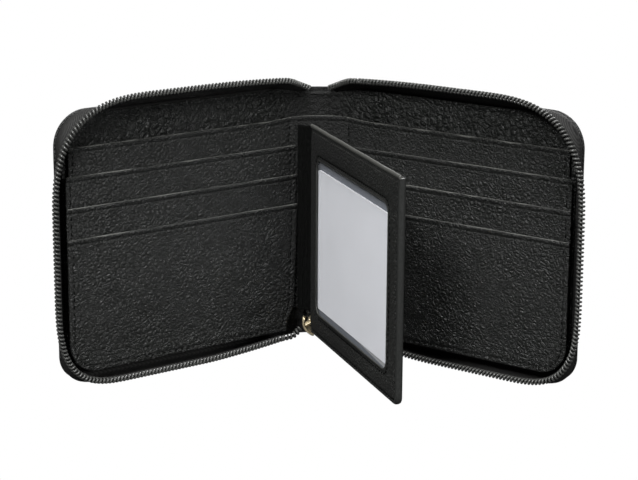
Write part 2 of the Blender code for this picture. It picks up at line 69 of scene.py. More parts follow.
# Card pocket leaves, from the rear one forwards.
POCKET_BOTTOM, POCKET_CORNER = 5.7, 11.0
POCKET_TOPS = {"pocket_back": 87.5, "card_pocket_upper": 77.4,
               "card_pocket_middle": 66.3, "card_pocket_lower": 55.2}
POCKET_OUTERS = {"pocket_back": 100.2, "card_pocket_upper": 102.0,
                 "card_pocket_middle": 102.6, "card_pocket_lower": 103.0}
POCKET_FRONTS = {"pocket_back": 1.8, "card_pocket_upper": 2.9,
                 "card_pocket_middle": 4.0, "card_pocket_lower": 5.1}
FRONT_LEAVES = ("card_pocket_upper", "card_pocket_middle", "card_pocket_lower")
POCKET_LEATHER = 0.8
DIVIDER_BOTTOM = 13.5

# Cover leather and the lining behind the bills: outer edge, bottom, top, lower and upper corner.
COVER = (103.3, 0.9, 100.2, 10.0, 13.0)
LINING_RIM = (101.5, 4.0, 98.9, 14.0, 14.0)
SHELL_FACE = -3.6

# Sheets that run across the spine: half of the plan at the spine, depth in the cover, where the
# cover's part starts, and where the fold's bend starts and ends.
BACK_RUN = ([(0.0, 3.6), (3.2, 3.52), (6.2, 3.25), (8.3, 2.85)], 1.4, 3.4,
            ((6.4, 3.2), (10.6, 2.6)))
LINING_RUN = ([(0.0, 8.9), (3.0, 8.7), (6.0, 8.05), (8.6, 7.15)], -0.85, 0.5,
              ((8.3, 7.25), (9.6, 6.4)))
SHELL_RUN = ([(0.0, 10.3), (3.2, 10.14), (6.4, 9.66), (9.4, 8.9)], -3.0, 1.6,
             ((9.3, 8.9), (11.6, 7.7)))

STITCH_INSET = 1.8
STITCH_PITCH = 2.6
STITCH_LENGTH, STITCH_WIDTH, STITCH_HEIGHT, STITCH_DIP = 1.75, 0.32, 0.17, 0.16

# Distances of the mesh rows from a plain edge and from a turned top edge.
EDGE_LINES = [0, 0.1, 0.25, 0.5, 0.8, 1.1, 1.35, 1.55, 1.75, 1.95, 2.2, 2.5, 2.9, 3.5, 4.3]
TOP_LINES = [0, 0.1, 0.25, 0.45, 0.7, 1.0, 1.3, 1.55, 1.7, 1.85, 2.0, 2.2, 2.5, 3.0, 3.8]


# ---------------------------------------------------------------- geometry helpers

def place_points(points):
    """Millimetres in the wallet's own frame to metres in the row frame."""
    moved = np.array(points, float)
    moved[..., 1] += SHIFT_Y
    return moved * 0.001


def cover_points(side, u, w, z):
    """Points of a cover: u outwards from its fold axis, w towards the inside, z up."""
    u, w, z = np.broadcast_arrays(np.asarray(u, float), np.asarray(w, float), np.asarray(z, float))
    x = side * (AXIS_X + u * COS - w * SIN)
    y = AXIS_Y - u * SIN - w * COS
    return np.stack([x, y, z], axis=-1)


def flap_points(t, n, z):
    """Points of the flap: t outwards from its axis, n towards the window's side, z up."""
    t, n, z = np.broadcast_arrays(np.asarray(t, float), np.asarray(n, float), np.asarray(z, float))
    c, s = math.cos(FLAP_ANGLE), math.sin(FLAP_ANGLE)
    along = t * math.cos(FLAP_DROOP) + (z - FLAP_MIDDLE) * math.sin(FLAP_DROOP)
    height = z * math.cos(FLAP_DROOP) - t * math.sin(FLAP_DROOP)
    return np.stack([FLAP_X + along * c - n * s, FLAP_Y - along * s - n * c, height], axis=-1)


def bump_line(distance, center, width):
    return np.exp(-((np.asarray(distance, float) - center) / width) ** 2)


def smooth_step(value, low, high):
    t = np.clip((np.asarray(value, float) - low) / (high - low), 0, 1)
    return t * t * (3 - 2 * t)


def waves(a, b, seed, wavelength, count=9, spread=0.5):
    """A smooth repeatable undulation of about unit height over two coordinates."""
    source = np.random.RandomState(seed)
    total = np.zeros(np.broadcast(a, b).shape)
    for _ in range(count):
        turn = source.uniform(0, 2 * math.pi)
        size = 2 * math.pi / (wavelength * source.uniform(1 - spread, 1 + spread))
        total = total + np.sin(size * (a * math.cos(turn) + b * math.sin(turn))
                               + source.uniform(0, 2 * math.pi))
    return total / math.sqrt(count)


def catmull(points, steps):
    """A smooth line through points, with the given number of steps between each two."""
    points = [np.array(p, float) for p in points]
    padded = [2 * points[0] - points[1]] + points + [2 * points[-1] - points[-2]]
    line = []
    for k in range(1, len(padded) - 2):
        a, b, c, d = padded[k - 1:k + 3]
        for step in range(steps):
            t = step / steps
            line.append(0.5 * (2 * b + (c - a) * t + (2 * a - 5 * b + 4 * c - d) * t ** 2
                               + (3 * b - a - 3 * c + d) * t ** 3))
    line.append(points[-1])
    return np.array(line)


def resample(line, positions):
    """Points at the given distances along a polyline, with their unit tangents."""
    line = np.array(line, float)
    along = np.concatenate([[0], np.cumsum(np.linalg.norm(np.diff(line, axis=0), axis=1))])
    found = np.stack([np.interp(positions, along, line[:, k]) for k in range(line.shape[1])], 1)
    step = 0.05
    ahead = np.stack([np.interp(np.asarray(positions) + step, along, line[:, k])
                      for k in range(line.shape[1])], 1)
    behind = np.stack([np.interp(np.asarray(positions) - step, along, line[:, k])
                       for k in range(line.shape[1])], 1)
    tangent = ahead - behind
    tangent /= np.maximum(np.linalg.norm(tangent, axis=1, keepdims=True), 1e-9)
    return found, tangent


def line_length(line):
    return float(np.linalg.norm(np.diff(np.array(line, float), axis=0), axis=1).sum())


def evenly(line, count):
    return resample(line, np.linspace(0, line_length(line), count))[0]


def arc(x, y, radius, start, end, count):
    """Points of an arc about (x, y), from start to end in radians."""
    return [(x + radius * math.cos(a), y + radius * math.sin(a))
            for a in np.linspace(start, end, count)]


def make_object(name, vertices, faces, material, smooth):
    """A mesh object from millimetre points of the wallet's frame."""
    mesh = bpy.data.meshes.new(name)
    mesh.from_pydata(place_points(vertices).tolist(), [], [list(map(int, face)) for face in faces])
    shape = bmesh.new()
    shape.from_mesh(mesh)
    bmesh.ops.recalc_face_normals(shape, faces=shape.faces)
    for face in shape.faces:
        face.smooth = True
    shape.to_mesh(mesh)
    shape.free()
    mesh.set_sharp_from_angle(angle=math.radians(smooth))
    mesh.materials.append(material)
    made = bpy.data.objects.new(name, mesh)
    bpy.context.scene.collection.objects.link(made)
    return made


def fixed(name, body, shape, material, nodes=(), smooth=60):
    """A piece that moves with one body. shape is its vertices and faces, nodes what it replaces."""
    made = make_object(name, *shape, material, smooth)
    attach(made, body)
    if nodes:
        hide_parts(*nodes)


def bent(name, ends, shape, material, nodes=(), smooth=60):
    """A piece baked into place at rest, on no body. ends, two points at the spine and at the body,
    is turned into metres and not used further.
    """
    made = make_object(name, *shape, material, smooth)
    start, end = (place_points(point).tolist() for point in ends)
    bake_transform(made)
    if nodes:
        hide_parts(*nodes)


def slab(front, back):
    """Vertices and faces of a closed sheet from two equal grids of points."""
    rows, columns = front.shape[:2]
    count = rows * columns
    vertices = np.concatenate([front.reshape(-1, 3), back.reshape(-1, 3)])
    index = np.arange(count).reshape(rows, columns)
    a, b = index[:-1, :-1].ravel(), index[:-1, 1:].ravel()
    c, d = index[1:, 1:].ravel(), index[1:, :-1].ravel()
    faces = np.concatenate([np.stack([a, b, c, d], 1),
                            np.stack([a, d, c, b], 1) + count])
    loop = np.concatenate([index[0, :], index[1:, -1], index[-1, -2::-1], index[-2:0:-1, 0]])
    following = np.roll(loop, -1)
    walls = np.stack([following, loop, loop + count, following + count], 1)
    return vertices, np.concatenate([faces, walls])


def loft(rings):
    """Vertices and faces of a body with flat ends, through equal rings of points."""
    rings = np.array(rings)
    count, sides = rings.shape[:2]
    index = np.arange(count * sides).reshape(count, sides)
    nxt = np.roll(index, -1, axis=1)
    faces = np.stack([index[:-1].ravel(), nxt[:-1].ravel(), nxt[1:].ravel(), index[1:].ravel()], 1)
    return rings.reshape(-1, 3), faces.tolist() + [index[0][::-1].tolist(), index[-1].tolist()]


def tube(line, radius, sides=8):
    """Vertices and faces of a round tube along a line of points."""
    line = np.array(line, float)
    tangent = np.gradient(line, axis=0)
    tangent /= np.maximum(np.linalg.norm(tangent, axis=1, keepdims=True), 1e-9)
    up = np.array([0.0, 0.0, 1.0]) if abs(tangent[0][2]) < 0.9 else np.array([1.0, 0.0, 0.0])
    normal = np.cross(tangent[0], up)
    normal /= np.linalg.norm(normal)
    normals = []
    for direction in tangent:
        normal = normal - direction * (normal @ direction)
        normal /= max(np.linalg.norm(normal), 1e-9)
        normals.append(normal)
    normals = np.array(normals)
    sideways = np.cross(tangent, normals)
    angles = np.arange(sides) * 2 * math.pi / sides
    return loft(line[:, None, :] + radius * (np.cos(angles)[None, :, None] * normals[:, None, :]
                                             + np.sin(angles)[None, :, None]
                                             * sideways[:, None, :]))


def joined(parts):
    """One vertex list and face list from several."""
    vertices, faces, base = [], [], 0
    for part_vertices, part_faces in parts:
        vertices.append(np.asarray(part_vertices, float))
        faces += [[int(v) + base for v in face] for face in part_faces]
        base += len(part_vertices)
    return np.concatenate(vertices), faces


def stitch(center, along, normal, length):
    """One thread stitch, a rounded bar that dips at its ends."""
    along = np.array(along, float) / np.linalg.norm(along)
    normal = np.array(normal, float) / np.linalg.norm(normal)
    across = np.cross(normal, along)
    rings = []
    for t in np.linspace(-1, 1, 7):
        size = math.sqrt(max(0.04, 1 - abs(t) ** 3))
        middle = np.array(center) + along * t * length / 2 - normal * STITCH_DIP * t * t
        rings.append([middle + across * math.cos(angle) * STITCH_WIDTH * size
                      + normal * math.sin(angle) * STITCH_HEIGHT * size
                      for angle in np.arange(6) * math.pi / 3])
    return loft(rings)


def stitch_row(line, to_world, pitch=STITCH_PITCH, length=STITCH_LENGTH):
    """Stitches along a line of (a, b) sheet coordinates. to_world(a, b, lift) gives a point."""
    total = line_length(line)
    count = max(2, int(round(total / pitch)))
    middles, tangents = resample(line, (np.arange(count) + 0.5) * total / count)
    parts = []
    for (a, b), (ta, tb) in zip(middles, tangents):
        here = to_world(a, b, 0.0)
        ahead = to_world(a + 0.2 * ta, b + 0.2 * tb, 0.0)
        parts.append(stitch(here, ahead - here, to_world(a, b, 0.5) - here, length))
    return parts


# ---------------------------------------------------------------- materials (metres)

def new_material(name, color, roughness, metallic=0.0, specular=0.5):
    material = bpy.data.materials.new(name)
    material.use_nodes = True
    shader = material.node_tree.nodes["Principled BSDF"]
    shader.inputs["Base Color"].default_value = (*color, 1)
    shader.inputs["Roughness"].default_value = roughness
    shader.inputs["Metallic"].default_value = metallic
    shader.inputs["Specular IOR Level"].default_value = specular
    return material, material.node_tree, shader


def add(tree, kind, **values):
    node = tree.nodes.new(kind)
    for key, value in values.items():
        if key in node.inputs:
            node.inputs[key].default_value = value
        else:
            setattr(node, key, value)
    return node


def ramp(tree, source, low, high, low_color, high_color):
    node = tree.nodes.new("ShaderNodeValToRGB")
    node.color_ramp.elements[0].position = low
    node.color_ramp.elements[1].position = high
    node.color_ramp.elements[0].color = (*low_color, 1)
    node.color_ramp.elements[1].color = (*high_color, 1)
    tree.links.new(source, node.inputs["Fac"])
    return node.outputs["Color"]


def value_range(tree, source, low, high, to_low, to_high):
    node = add(tree, "ShaderNodeMapRange")
    node.inputs["From Min"].default_value = low
    node.inputs["From Max"].default_value = high
    node.inputs["To Min"].default_value = to_low
    node.inputs["To Max"].default_value = to_high
    tree.links.new(source, node.inputs["Value"])
    return node.outputs["Result"]


def object_coords(tree):
    return add(tree, "ShaderNodeTexCoord").outputs["Object"]


def texture(tree, kind, vector, **values):
    """A texture or mapping node that reads a vector."""
    node = add(tree, kind, **values)
    tree.links.new(vector, node.inputs["Vector"])
    return node


def relief_node(tree, height, distance, strength, under=None):
    """A bump of the given height, on top of an earlier one. strength is a number or an output."""
    node = add(tree, "ShaderNodeBump", Distance=distance)
    if isinstance(strength, float):
        node.inputs["Strength"].default_value = strength
    else:
        tree.links.new(strength, node.inputs["Strength"])
    tree.links.new(height, node.inputs["Height"])
    if under:
        tree.links.new(under, node.inputs["Normal"])
    return node.outputs["Normal"]


def color_mix(tree, factor, low_color, high):
    """low_color where factor is 0, and the output high where it is 1."""
    node = add(tree, "ShaderNodeMix", data_type="RGBA")
    node.inputs[6].default_value = (*low_color, 1)
    tree.links.new(factor, node.inputs[0])
    tree.links.new(high, node.inputs[7])
    return node.outputs[2]


def times(color, factor):
    return tuple(c * factor for c in color)


# Painted shade: every leather's colour is darkened towards the spine's middle line, as shade in the
# fold, and its gloss is dulled there.
SHADED_SPINE_FROM, SHADED_SPINE_TO = 0.006, 0.02   # the leather near the spine is darker and duller


def leather(name, color, cell, depth, roughness, stretch=(1, 1, 1), specular=0.5):
    """Pebbled leather. cell is the grain's size in metres and depth its height in metres."""
    material, tree, shader = new_material(name, color, roughness, specular=specular)
    link = tree.links.new
    coords = object_coords(tree)
    mapped = texture(tree, "ShaderNodeMapping", coords, Scale=stretch).outputs["Vector"]
    warp = texture(tree, "ShaderNodeTexNoise", mapped, Scale=0.45 / cell, Detail=2.0)
    centred = add(tree, "ShaderNodeVectorMath", operation="SUBTRACT")
    centred.inputs[1].default_value = (0.5, 0.5, 0.5)
    link(warp.outputs["Color"], centred.inputs[0])
    scaled = add(tree, "ShaderNodeVectorMath", operation="SCALE")
    scaled.inputs["Scale"].default_value = cell * 1.3
    link(centred.outputs["Vector"], scaled.inputs[0])
    moved = add(tree, "ShaderNodeVectorMath", operation="ADD")
    link(mapped, moved.inputs[0])
    link(scaled.outputs["Vector"], moved.inputs[1])
    moved = moved.outputs["Vector"]
    cells = texture(tree, "ShaderNodeTexVoronoi", moved, feature="DISTANCE_TO_EDGE",
                    Scale=1 / cell).outputs["Distance"]
    fine = texture(tree, "ShaderNodeTexVoronoi", moved, feature="DISTANCE_TO_EDGE",
                   Scale=2.6 / cell).outputs["Distance"]
    pores = texture(tree, "ShaderNodeTexNoise", coords, Scale=9 / cell, Detail=3.0, Roughness=0.7)
    patches = texture(tree, "ShaderNodeTexNoise", coords, Scale=42.0, Detail=3.0,
                      Roughness=0.6).outputs["Fac"]
    bump = relief_node(tree, value_range(tree, cells, 0.0, 0.35, 0.0, 1.0), depth,
                       value_range(tree, patches, 0.35, 0.65, 0.45, 1.0))
    bump = relief_node(tree, value_range(tree, fine, 0.0, 0.3, 0.0, 1.0), depth * 0.35, 0.8, bump)
    bump = relief_node(tree, pores.outputs["Fac"], depth * 0.1, 0.8, bump)
    link(bump, shader.inputs["Normal"])
    tone = ramp(tree, patches, 0.3, 0.7, times(color, 0.85), times(color, 1.35))
    # Painted shade in the grain: the colour falls to about half in the creases between the pebbles,
    # over a tone that varies at random.
    tone_and_crease_shade = color_mix(tree, value_range(tree, cells, 0.0, 0.2, 0.0, 1.0), times(color, 0.55),
                        tone)
    place = texture(tree, "ShaderNodeSeparateXYZ", coords)
    spread = add(tree, "ShaderNodeMath", operation="ABSOLUTE")
    link(place.outputs["X"], spread.inputs[0])
    spread = spread.outputs["Value"]
    # Painted shade near the spine: the base colour is pulled down towards a fifth of itself.
    spine_shade = value_range(tree, spread, SHADED_SPINE_FROM, SHADED_SPINE_TO, 0.25, 1.0)
    link(color_mix(tree, spine_shade, times(color, 0.2), tone_and_crease_shade), shader.inputs["Base Color"])
    total = add(tree, "ShaderNodeMath", operation="ADD")
    link(value_range(tree, patches, 0.3, 0.7, roughness + 0.06, roughness - 0.07), total.inputs[0])
    link(value_range(tree, spread, SHADED_SPINE_FROM, SHADED_SPINE_TO, 0.35, 0.0), total.inputs[1])
    link(total.outputs["Value"], shader.inputs["Roughness"])
    return material


def tape_material():
    """Woven tape: two crossing sets of ribs."""
    material, tree, shader = new_material("zip_tape_woven", (0.012, 0.012, 0.012), 0.75,
                                          specular=0.25)
    coords = object_coords(tree)
    bump = None
    for turn, scale in ((0.6, 640.0), (-0.6, 900.0)):
        mapped = texture(tree, "ShaderNodeMapping", coords,
                         Rotation=(0.2, turn, turn)).outputs["Vector"]
        ribs = texture(tree, "ShaderNodeTexWave", mapped, Scale=scale, Distortion=0.6)
        ribs.inputs["Detail Scale"].default_value = 3.0
        ribs = ribs.outputs["Fac"]
        if not bump:
            tree.links.new(ramp(tree, ribs, 0.2, 0.8, (0.005, 0.005, 0.005), (0.022, 0.022, 0.021)),
                           shader.inputs["Base Color"])
        bump = relief_node(tree, ribs, 0.00007, 0.7, bump)
    tree.links.new(bump, shader.inputs["Normal"])
    return material


def noisy(name, color, roughness, metallic=0.0, scale=900.0, depth=0.00003, spread=0.1,
          specular=0.5, tint=1.2):
    """A smooth surface with a little unevenness in colour, gloss and height."""
    material, tree, shader = new_material(name, color, roughness, metallic, specular)
    link = tree.links.new
    noise = texture(tree, "ShaderNodeTexNoise", object_coords(tree), Scale=scale,
                    Detail=4.0).outputs["Fac"]
    link(relief_node(tree, noise, depth, 0.7), shader.inputs["Normal"])
    link(value_range(tree, noise, 0.3, 0.7, roughness - spread, roughness + spread),
         shader.inputs["Roughness"])
    link(ramp(tree, noise, 0.3, 0.7, tuple(c / tint for c in color),
              tuple(min(1, c * tint) for c in color)), shader.inputs["Base Color"])
    return material


def film_material():
    """Clear film with a slow ripple."""
    material, tree, shader = new_material("film_clear", (0.72, 0.75, 0.8), 0.07)
    shader.inputs["Alpha"].default_value = 0.1
    noise = texture(tree, "ShaderNodeTexNoise", object_coords(tree), Scale=30.0, Detail=1.0)
    tree.links.new(relief_node(tree, noise.outputs["Fac"], 0.00004, 0.3), shader.inputs["Normal"])
    return material


PANEL = leather("leather_panel", (0.0125, 0.0132, 0.0122), 0.0016, 0.0005, 0.46, specular=0.36)
LINING = leather("leather_lining", (0.010, 0.0108, 0.0098), 0.0025, 0.0010, 0.48, specular=0.38)
SHELL = leather("leather_shell", (0.012, 0.0125, 0.012), 0.0018, 0.0003, 0.48, specular=0.35)
FLAP = leather("leather_flap", (0.02, 0.0208, 0.0192), 0.0014, 0.00036, 0.46, specular=0.34)
# Painted shade: the hinge strip's leather is coloured about three times darker, as the shade of the
# recess beside the flap.
HINGE_SHADE = leather("leather_hinge_painted_shade", (0.0035, 0.004, 0.0035), 0.0012, 0.0003, 0.7,
                stretch=(1, 1, 0.25), specular=0.12)
EDGE = noisy("leather_edge", (0.02, 0.021, 0.02), 0.42, scale=1400.0, depth=0.00005, specular=0.35)
# Painted highlight: rolled edges coloured several times lighter than the leather round them.
ROLL_HIGHLIGHT = noisy("leather_roll_painted_highlight", (0.075, 0.076, 0.07), 0.36, scale=1400.0, depth=0.00004)
# Painted highlight: thin edges coloured lighter than the leather round them.
PIPING_HIGHLIGHT = noisy("leather_piping_painted_highlight", (0.035, 0.036, 0.033), 0.4, scale=1400.0, depth=0.00004)
THREAD = noisy("thread_black", (0.002, 0.002, 0.002), 0.7, scale=4000.0, depth=0.00006,
               specular=0.05)
PALE_THREAD = noisy("thread_grey", (0.05, 0.05, 0.047), 0.5, scale=4000.0, depth=0.00006)
TAPE = tape_material()
COIL = noisy("coil_nylon", (0.05, 0.051, 0.048), 0.3, scale=2500.0, depth=0.00001, spread=0.06)
CORD = noisy("coil_core", (0.006, 0.006, 0.006), 0.8, scale=3000.0, depth=0.0001, specular=0.2)
GOLD = noisy("slider_pale_gold", (0.86, 0.74, 0.5), 0.34, metallic=0.75, scale=700.0,
             depth=0.00001, spread=0.06, tint=1.04)
BOARD = noisy("board_fibre", (0.3, 0.28, 0.25), 0.9, scale=1500.0, depth=0.00008)
CARD = noisy("card_plain", (0.93, 0.935, 0.965), 0.5, scale=60.0, depth=0.000001, tint=1.01)
SLATE = noisy("sleeve_slate", (0.075, 0.086, 0.108), 0.5, scale=260.0, depth=0.00001, tint=1.05)
# Painted shadow: a grey sheet for the shadow that lies on the card's lower edge.
CARD_SHADOW = noisy("card_shadow_grey", (0.45, 0.45, 0.45), 0.6, scale=120.0, depth=0.000004, tint=1.02)
FILM = film_material()


# ---------------------------------------------------------------- cover sheets

def pocket_inner(z):
    """The pockets' inner edge leans outwards towards the bottom, more so at the slider."""
    return 1.6 + 3.2 * (87.5 - z) / 82.0 + 3.0 * smooth_step(-z, -17.0, -8.0)


def corner_distance(u, z, outer, bottom, radius):
    """Distance inwards from a sheet's outer and bottom edges, with their round corner."""
    du, dz = outer - u, z - bottom
    plain = np.minimum(du, dz)
    rounded = radius - np.hypot(np.maximum(radius - du, 0), np.maximum(radius - dz, 0))
    return np.where((du < radius) & (dz < radius), rounded, plain)


def round_low(u, outer, bottom, radius):
    """Height of a bottom edge that ends in a round corner."""
    inside = np.clip(u - (outer - radius), 0, radius)
    return bottom + radius - np.sqrt(np.maximum(radius ** 2 - inside ** 2, 0))


def round_high(u, outer, top, radius):
    """Height of a top edge that ends in a round corner."""
    inside = np.clip(u - (outer - radius), 0, radius)
    return top - radius + np.sqrt(np.maximum(radius ** 2 - inside ** 2, 0))


def rim_distance(u, z, low, high, rim):
    """Distance inwards from a sheet's bottom and top edges and from its round corners."""
    outer, bottom, top, low_radius, high_radius = rim
    return np.minimum(np.minimum(high - z, z - low),
                      np.minimum(corner_distance(u, -z, outer, -top, high_radius),
                                 corner_distance(u, z, outer, bottom, low_radius)))


def half_profile(distance, thickness):
    """Thickness of a sheet near an edge that is rounded over."""
    reach = thickness * 0.55
    t = np.clip(1 - np.maximum(distance, 0) / reach, 0, 1)
    return thickness * np.sqrt(np.maximum(1 - t * t * 0.93, 0.05))


def row_shares(low_lines, high_lines, low, high, step):
    """Even rows between the fixed insets at a sheet's bottom and top, as shares of that height."""
    count = max(3, int(round((high - low - low_lines[-1] - high_lines[-1]) / step)))
    return np.linspace(0, 1, count + 1)[1:-1]


def column_heights(bottoms, tops, low_lines, high_lines, middle):
    """Heights of every row in every column."""
    low = np.array(low_lines)[:, None] + bottoms[None, :]
    high = tops[None, :] - np.array(high_lines)[::-1][:, None]
    first, last = low[-1], high[0]
    between = first[None, :] + (last - first)[None, :] * middle[:, None]
    return np.concatenate([low, between, high])


def top_roll(from_top):
    """The turned and creased top edge of a pocket."""
    return (0.32 * bump_line(from_top, 0.55, 0.75) - 0.22 * bump_line(from_top, 1.85, 0.32)
            + 0.08 * bump_line(from_top, 2.5, 0.5))


def margin_relief(edge):
    """The sewn margin: a groove under the stitches, a soft welt inside it."""
    return (-0.24 * bump_line(edge, STITCH_INSET, 0.38)
            + 0.12 * bump_line(edge, STITCH_INSET + 1.1, 0.8)
            + 0.06 * bump_line(edge, 1.4, 0.7))


def pocket_relief(u, z, top, outer, seed):
    """A pocket leaf's relief, and how far inside its margins each point lies."""
    inner = pocket_inner(z)
    edge = corner_distance(u, z, outer, POCKET_BOTTOM, POCKET_CORNER)
    relief = top_roll(top - z) + margin_relief(edge)
    relief = relief + 0.16 * bump_line(u - inner, 1.1, 0.7) - 0.2 * bump_line(u - inner, 2.3, 0.35)
    middle = smooth_step(u - inner, 3, 14) * smooth_step(edge, 4, 14)
    ripple = np.sin(2 * math.pi * (u + z) / STITCH_PITCH)
    pucker = ripple * bump_line(edge, STITCH_INSET, 0.9) * 0.05
    return relief + pucker + 0.08 * waves(u, z, seed, 13.0) * middle, middle


def panel_sheet(word, side, name):
    """One card pocket leaf, on its cover. The lowest is padded, and has a finer mesh."""
    top, front, outer = POCKET_TOPS[name], POCKET_FRONTS[name], POCKET_OUTERS[name]
    lowest = name == "card_pocket_lower"
    inner_lines = np.array([0, 0.12, 0.3, 0.6, 1.0, 1.4, 1.8, 2.1, 2.3, 2.5, 2.8, 3.3, 4.0])
    step = 1.3 if lowest else 2.0
    shares = np.linspace(0, 1, int(round(90 / step)) + 1)[1:-1]
    inner_top = pocket_inner(np.array(top))
    first, last = inner_top + inner_lines[-1], outer - EDGE_LINES[-1]
    reference = np.concatenate([inner_top + inner_lines,
                                first + (last - inner_top - inner_lines[-1]) * shares,
                                outer - np.array(EDGE_LINES)[::-1]])
    bottoms = round_low(reference, outer, POCKET_BOTTOM, POCKET_CORNER)
    z = column_heights(bottoms, np.full_like(bottoms, top), EDGE_LINES, TOP_LINES,
                       row_shares(EDGE_LINES, TOP_LINES, POCKET_BOTTOM, top, step))
    inner = pocket_inner(z)
    lean = np.clip(1 - (reference - inner_top) / (outer - inner_top) * 1.6, 0, 1)
    u = reference[None, :] + (inner - inner_top) * lean
    relief, inside = pocket_relief(u, z, top, outer, 11 + len(name) + side)
    if lowest:
        relief = relief + inside * (0.55 * np.sin(math.pi * np.clip((z - 10) / 44, 0, 1)))
    edge = np.minimum(np.minimum(u - inner, top - z),
                      corner_distance(u, z, outer, POCKET_BOTTOM, POCKET_CORNER))
    half = half_profile(edge, POCKET_LEATHER) / 2
    middle = front - POCKET_LEATHER / 2
    waviness = 0.05 * waves(u, z, 5 + side, 30.0)
    fixed(f"{word}_{name}_leather", word + "_cover",
          slab(cover_points(side, u, middle + half + relief + waviness, z),
               cover_points(side, u, middle - half, z)),
          PANEL, (f"{word}_{name}",), 40)


def across_spine(spine, depth, start):
    """Plan line from the spine's middle out along the right cover, and where u is 0 on it."""
    probe = 20.0
    points = [np.array(p, float) for p in spine]
    points += [cover_points(1, u, depth, 0.0)[:2] for u in (start, start + 2.0, start + 5.0)]
    line = np.concatenate([catmull(points, 10), cover_points(1, 112.0, depth, 0.0)[None, :2]])
    along = np.concatenate([[0], np.cumsum(np.linalg.norm(np.diff(line, axis=0), axis=1))])
    steps = np.linspace(0, along[-1], 6000)
    found = np.stack([np.interp(steps, along, line[:, k]) for k in range(2)], 1)
    target = cover_points(1, probe, depth, 0.0)[:2]
    return line, steps[np.argmin(np.linalg.norm(found - target[None, :], axis=1))] - probe


def plan_surface(points, tangent, z, offset, side=1):
    """Points of an upright sheet over a plan line, moved by offset along its normal."""
    x = side * (points[None, :, 0] + tangent[None, :, 1] * offset)
    return np.stack([x, points[None, :, 1] - tangent[None, :, 0] * offset, z], axis=-1)


def fold_ends(side, ends):
    """Where a sheet's bend starts and ends, for one side."""
    return [(side * x, y, BLEND_HEIGHT) for x, y in ends]


def long_sheet(word, side, name, run, outer, heights, thickness, relief, edge_fn, material,
               nodes, spine_node):
    """A sheet from the spine's middle line out over a cover, as one piece round the fold.
    Its columns are dense over the spine and fold and at the outer edge."""
    spine, depth, start, ends = run
    line, origin = across_spine(spine, depth, start)
    inner_end = origin + 7.0
    last = origin + outer - np.array(EDGE_LINES)[::-1]
    count = int(round((last[0] - inner_end) / 1.3))
    s = np.concatenate([np.linspace(0, inner_end, int(inner_end / 0.5) + 1),
                        np.linspace(inner_end, last[0], count + 1)[1:-1], last])
    points, tangent = resample(line, s)
    u = s - origin
    z = heights(u)
    grid_u = np.broadcast_to(u[None, :], z.shape)
    half = half_profile(edge_fn(grid_u, z), thickness) / 2
    front, back = half + relief(grid_u, z, 1), -half + relief(grid_u, z, -1)
    bent(f"{word}_{name}", fold_ends(side, ends),
         slab(plan_surface(points, tangent, z, front, side),
              plan_surface(points, tangent, z, back, side)),
         material, [f"{word}_{node}" for node in nodes] + ([spine_node] if side < 0 else []),
         40)


def back_pocket_top(u):
    return POCKET_TOPS["pocket_back"] + 1.1 * (1 - smooth_step(u, -4.0, 15.0))


def lining_top(u):
    outer, _, top, _, radius = LINING_RIM
    return round_high(u, outer, top, radius) - 2.1 * (1 - smooth_step(u, -5.0, 7.0))


def build_back_pocket(word, side):
    """The rear card pocket leaf, which runs on across the spine as the bill compartment's front."""
    top, outer = POCKET_TOPS["pocket_back"], POCKET_OUTERS["pocket_back"]

    def heights(u):
        cover_low = round_low(u, outer, POCKET_BOTTOM, POCKET_CORNER)
        bottoms = DIVIDER_BOTTOM + (cover_low - DIVIDER_BOTTOM) * smooth_step(u, 3.2, 8.4)
        return column_heights(bottoms, back_pocket_top(u), EDGE_LINES, TOP_LINES,
                              row_shares(EDGE_LINES, TOP_LINES, 12, top, 1.8))

    def edge_fn(u, z):
        low = DIVIDER_BOTTOM + (POCKET_BOTTOM - DIVIDER_BOTTOM) * smooth_step(u, 3.2, 8.4)
        return np.minimum(np.minimum(back_pocket_top(u) - z, z - low),
                          corner_distance(u, z, outer, POCKET_BOTTOM, POCKET_CORNER))

    def relief(u, z, face):
        if face < 0:
            return 0 * u
        from_top = back_pocket_top(u) - z
        outside = smooth_step(u, 1.0, 5.0)
        values, _ = pocket_relief(u, z, back_pocket_top(u), outer, 31 + side)
        gather = 0.16 * waves(u * 3.2, z * 0.5, 17 + side, 6.0) * bump_line(u, -4.0, 6.5)
        gather = gather * smooth_step(top - z, 1, 4)
        return values * outside + top_roll(from_top) * (1 - outside) + gather

    long_sheet(word, side, "back_pocket_leather", BACK_RUN, outer, heights, POCKET_LEATHER, relief,
               edge_fn, PANEL, ("pocket_back", "divider_fold"), "spine_divider")


def build_lining(word, side):
    """The bill compartment's back wall, gathered at the spine."""
    outer, bottom, top, radius, _ = LINING_RIM

    def low_of(u):
        return 12.0 + (round_low(u, outer, bottom, radius) - 12.0) * smooth_step(u, -1.5, 3.5)

    def heights(u):
        return column_heights(low_of(u), lining_top(u), EDGE_LINES, TOP_LINES,
                              row_shares(EDGE_LINES, TOP_LINES, bottom, top, 1.4))

    def edge_fn(u, z):
        return rim_distance(u, z, low_of(u), lining_top(u), LINING_RIM)

    def relief(u, z, face):
        if face < 0:
            return 0 * u
        from_top = lining_top(u) - z
        roll = 0.3 * bump_line(from_top, 0.6, 0.7) - 0.2 * bump_line(from_top, 2.2, 0.45)
        folds = waves(u * 2.6, z * 0.35, 23 + side, 8.0) * bump_line(u, -2.0, 8.0)
        slant = u + 0.55 * (94 - z) * np.sign(u + 0.01)
        radial = np.sin(0.9 * slant + side) * bump_line(u, 3.0, 9.0)
        coarse = waves(u, z * 1.4, 29 + side, 4.2, count=14)
        return roll + smooth_step(from_top, 1.5, 4) * (0.22 * folds + 0.1 * radial + 0.07 * coarse)

    long_sheet(word, side, "bill_lining_leather", LINING_RUN, outer, heights, 0.7, relief, edge_fn,
               LINING, ("bill_lining",), "spine_lining")


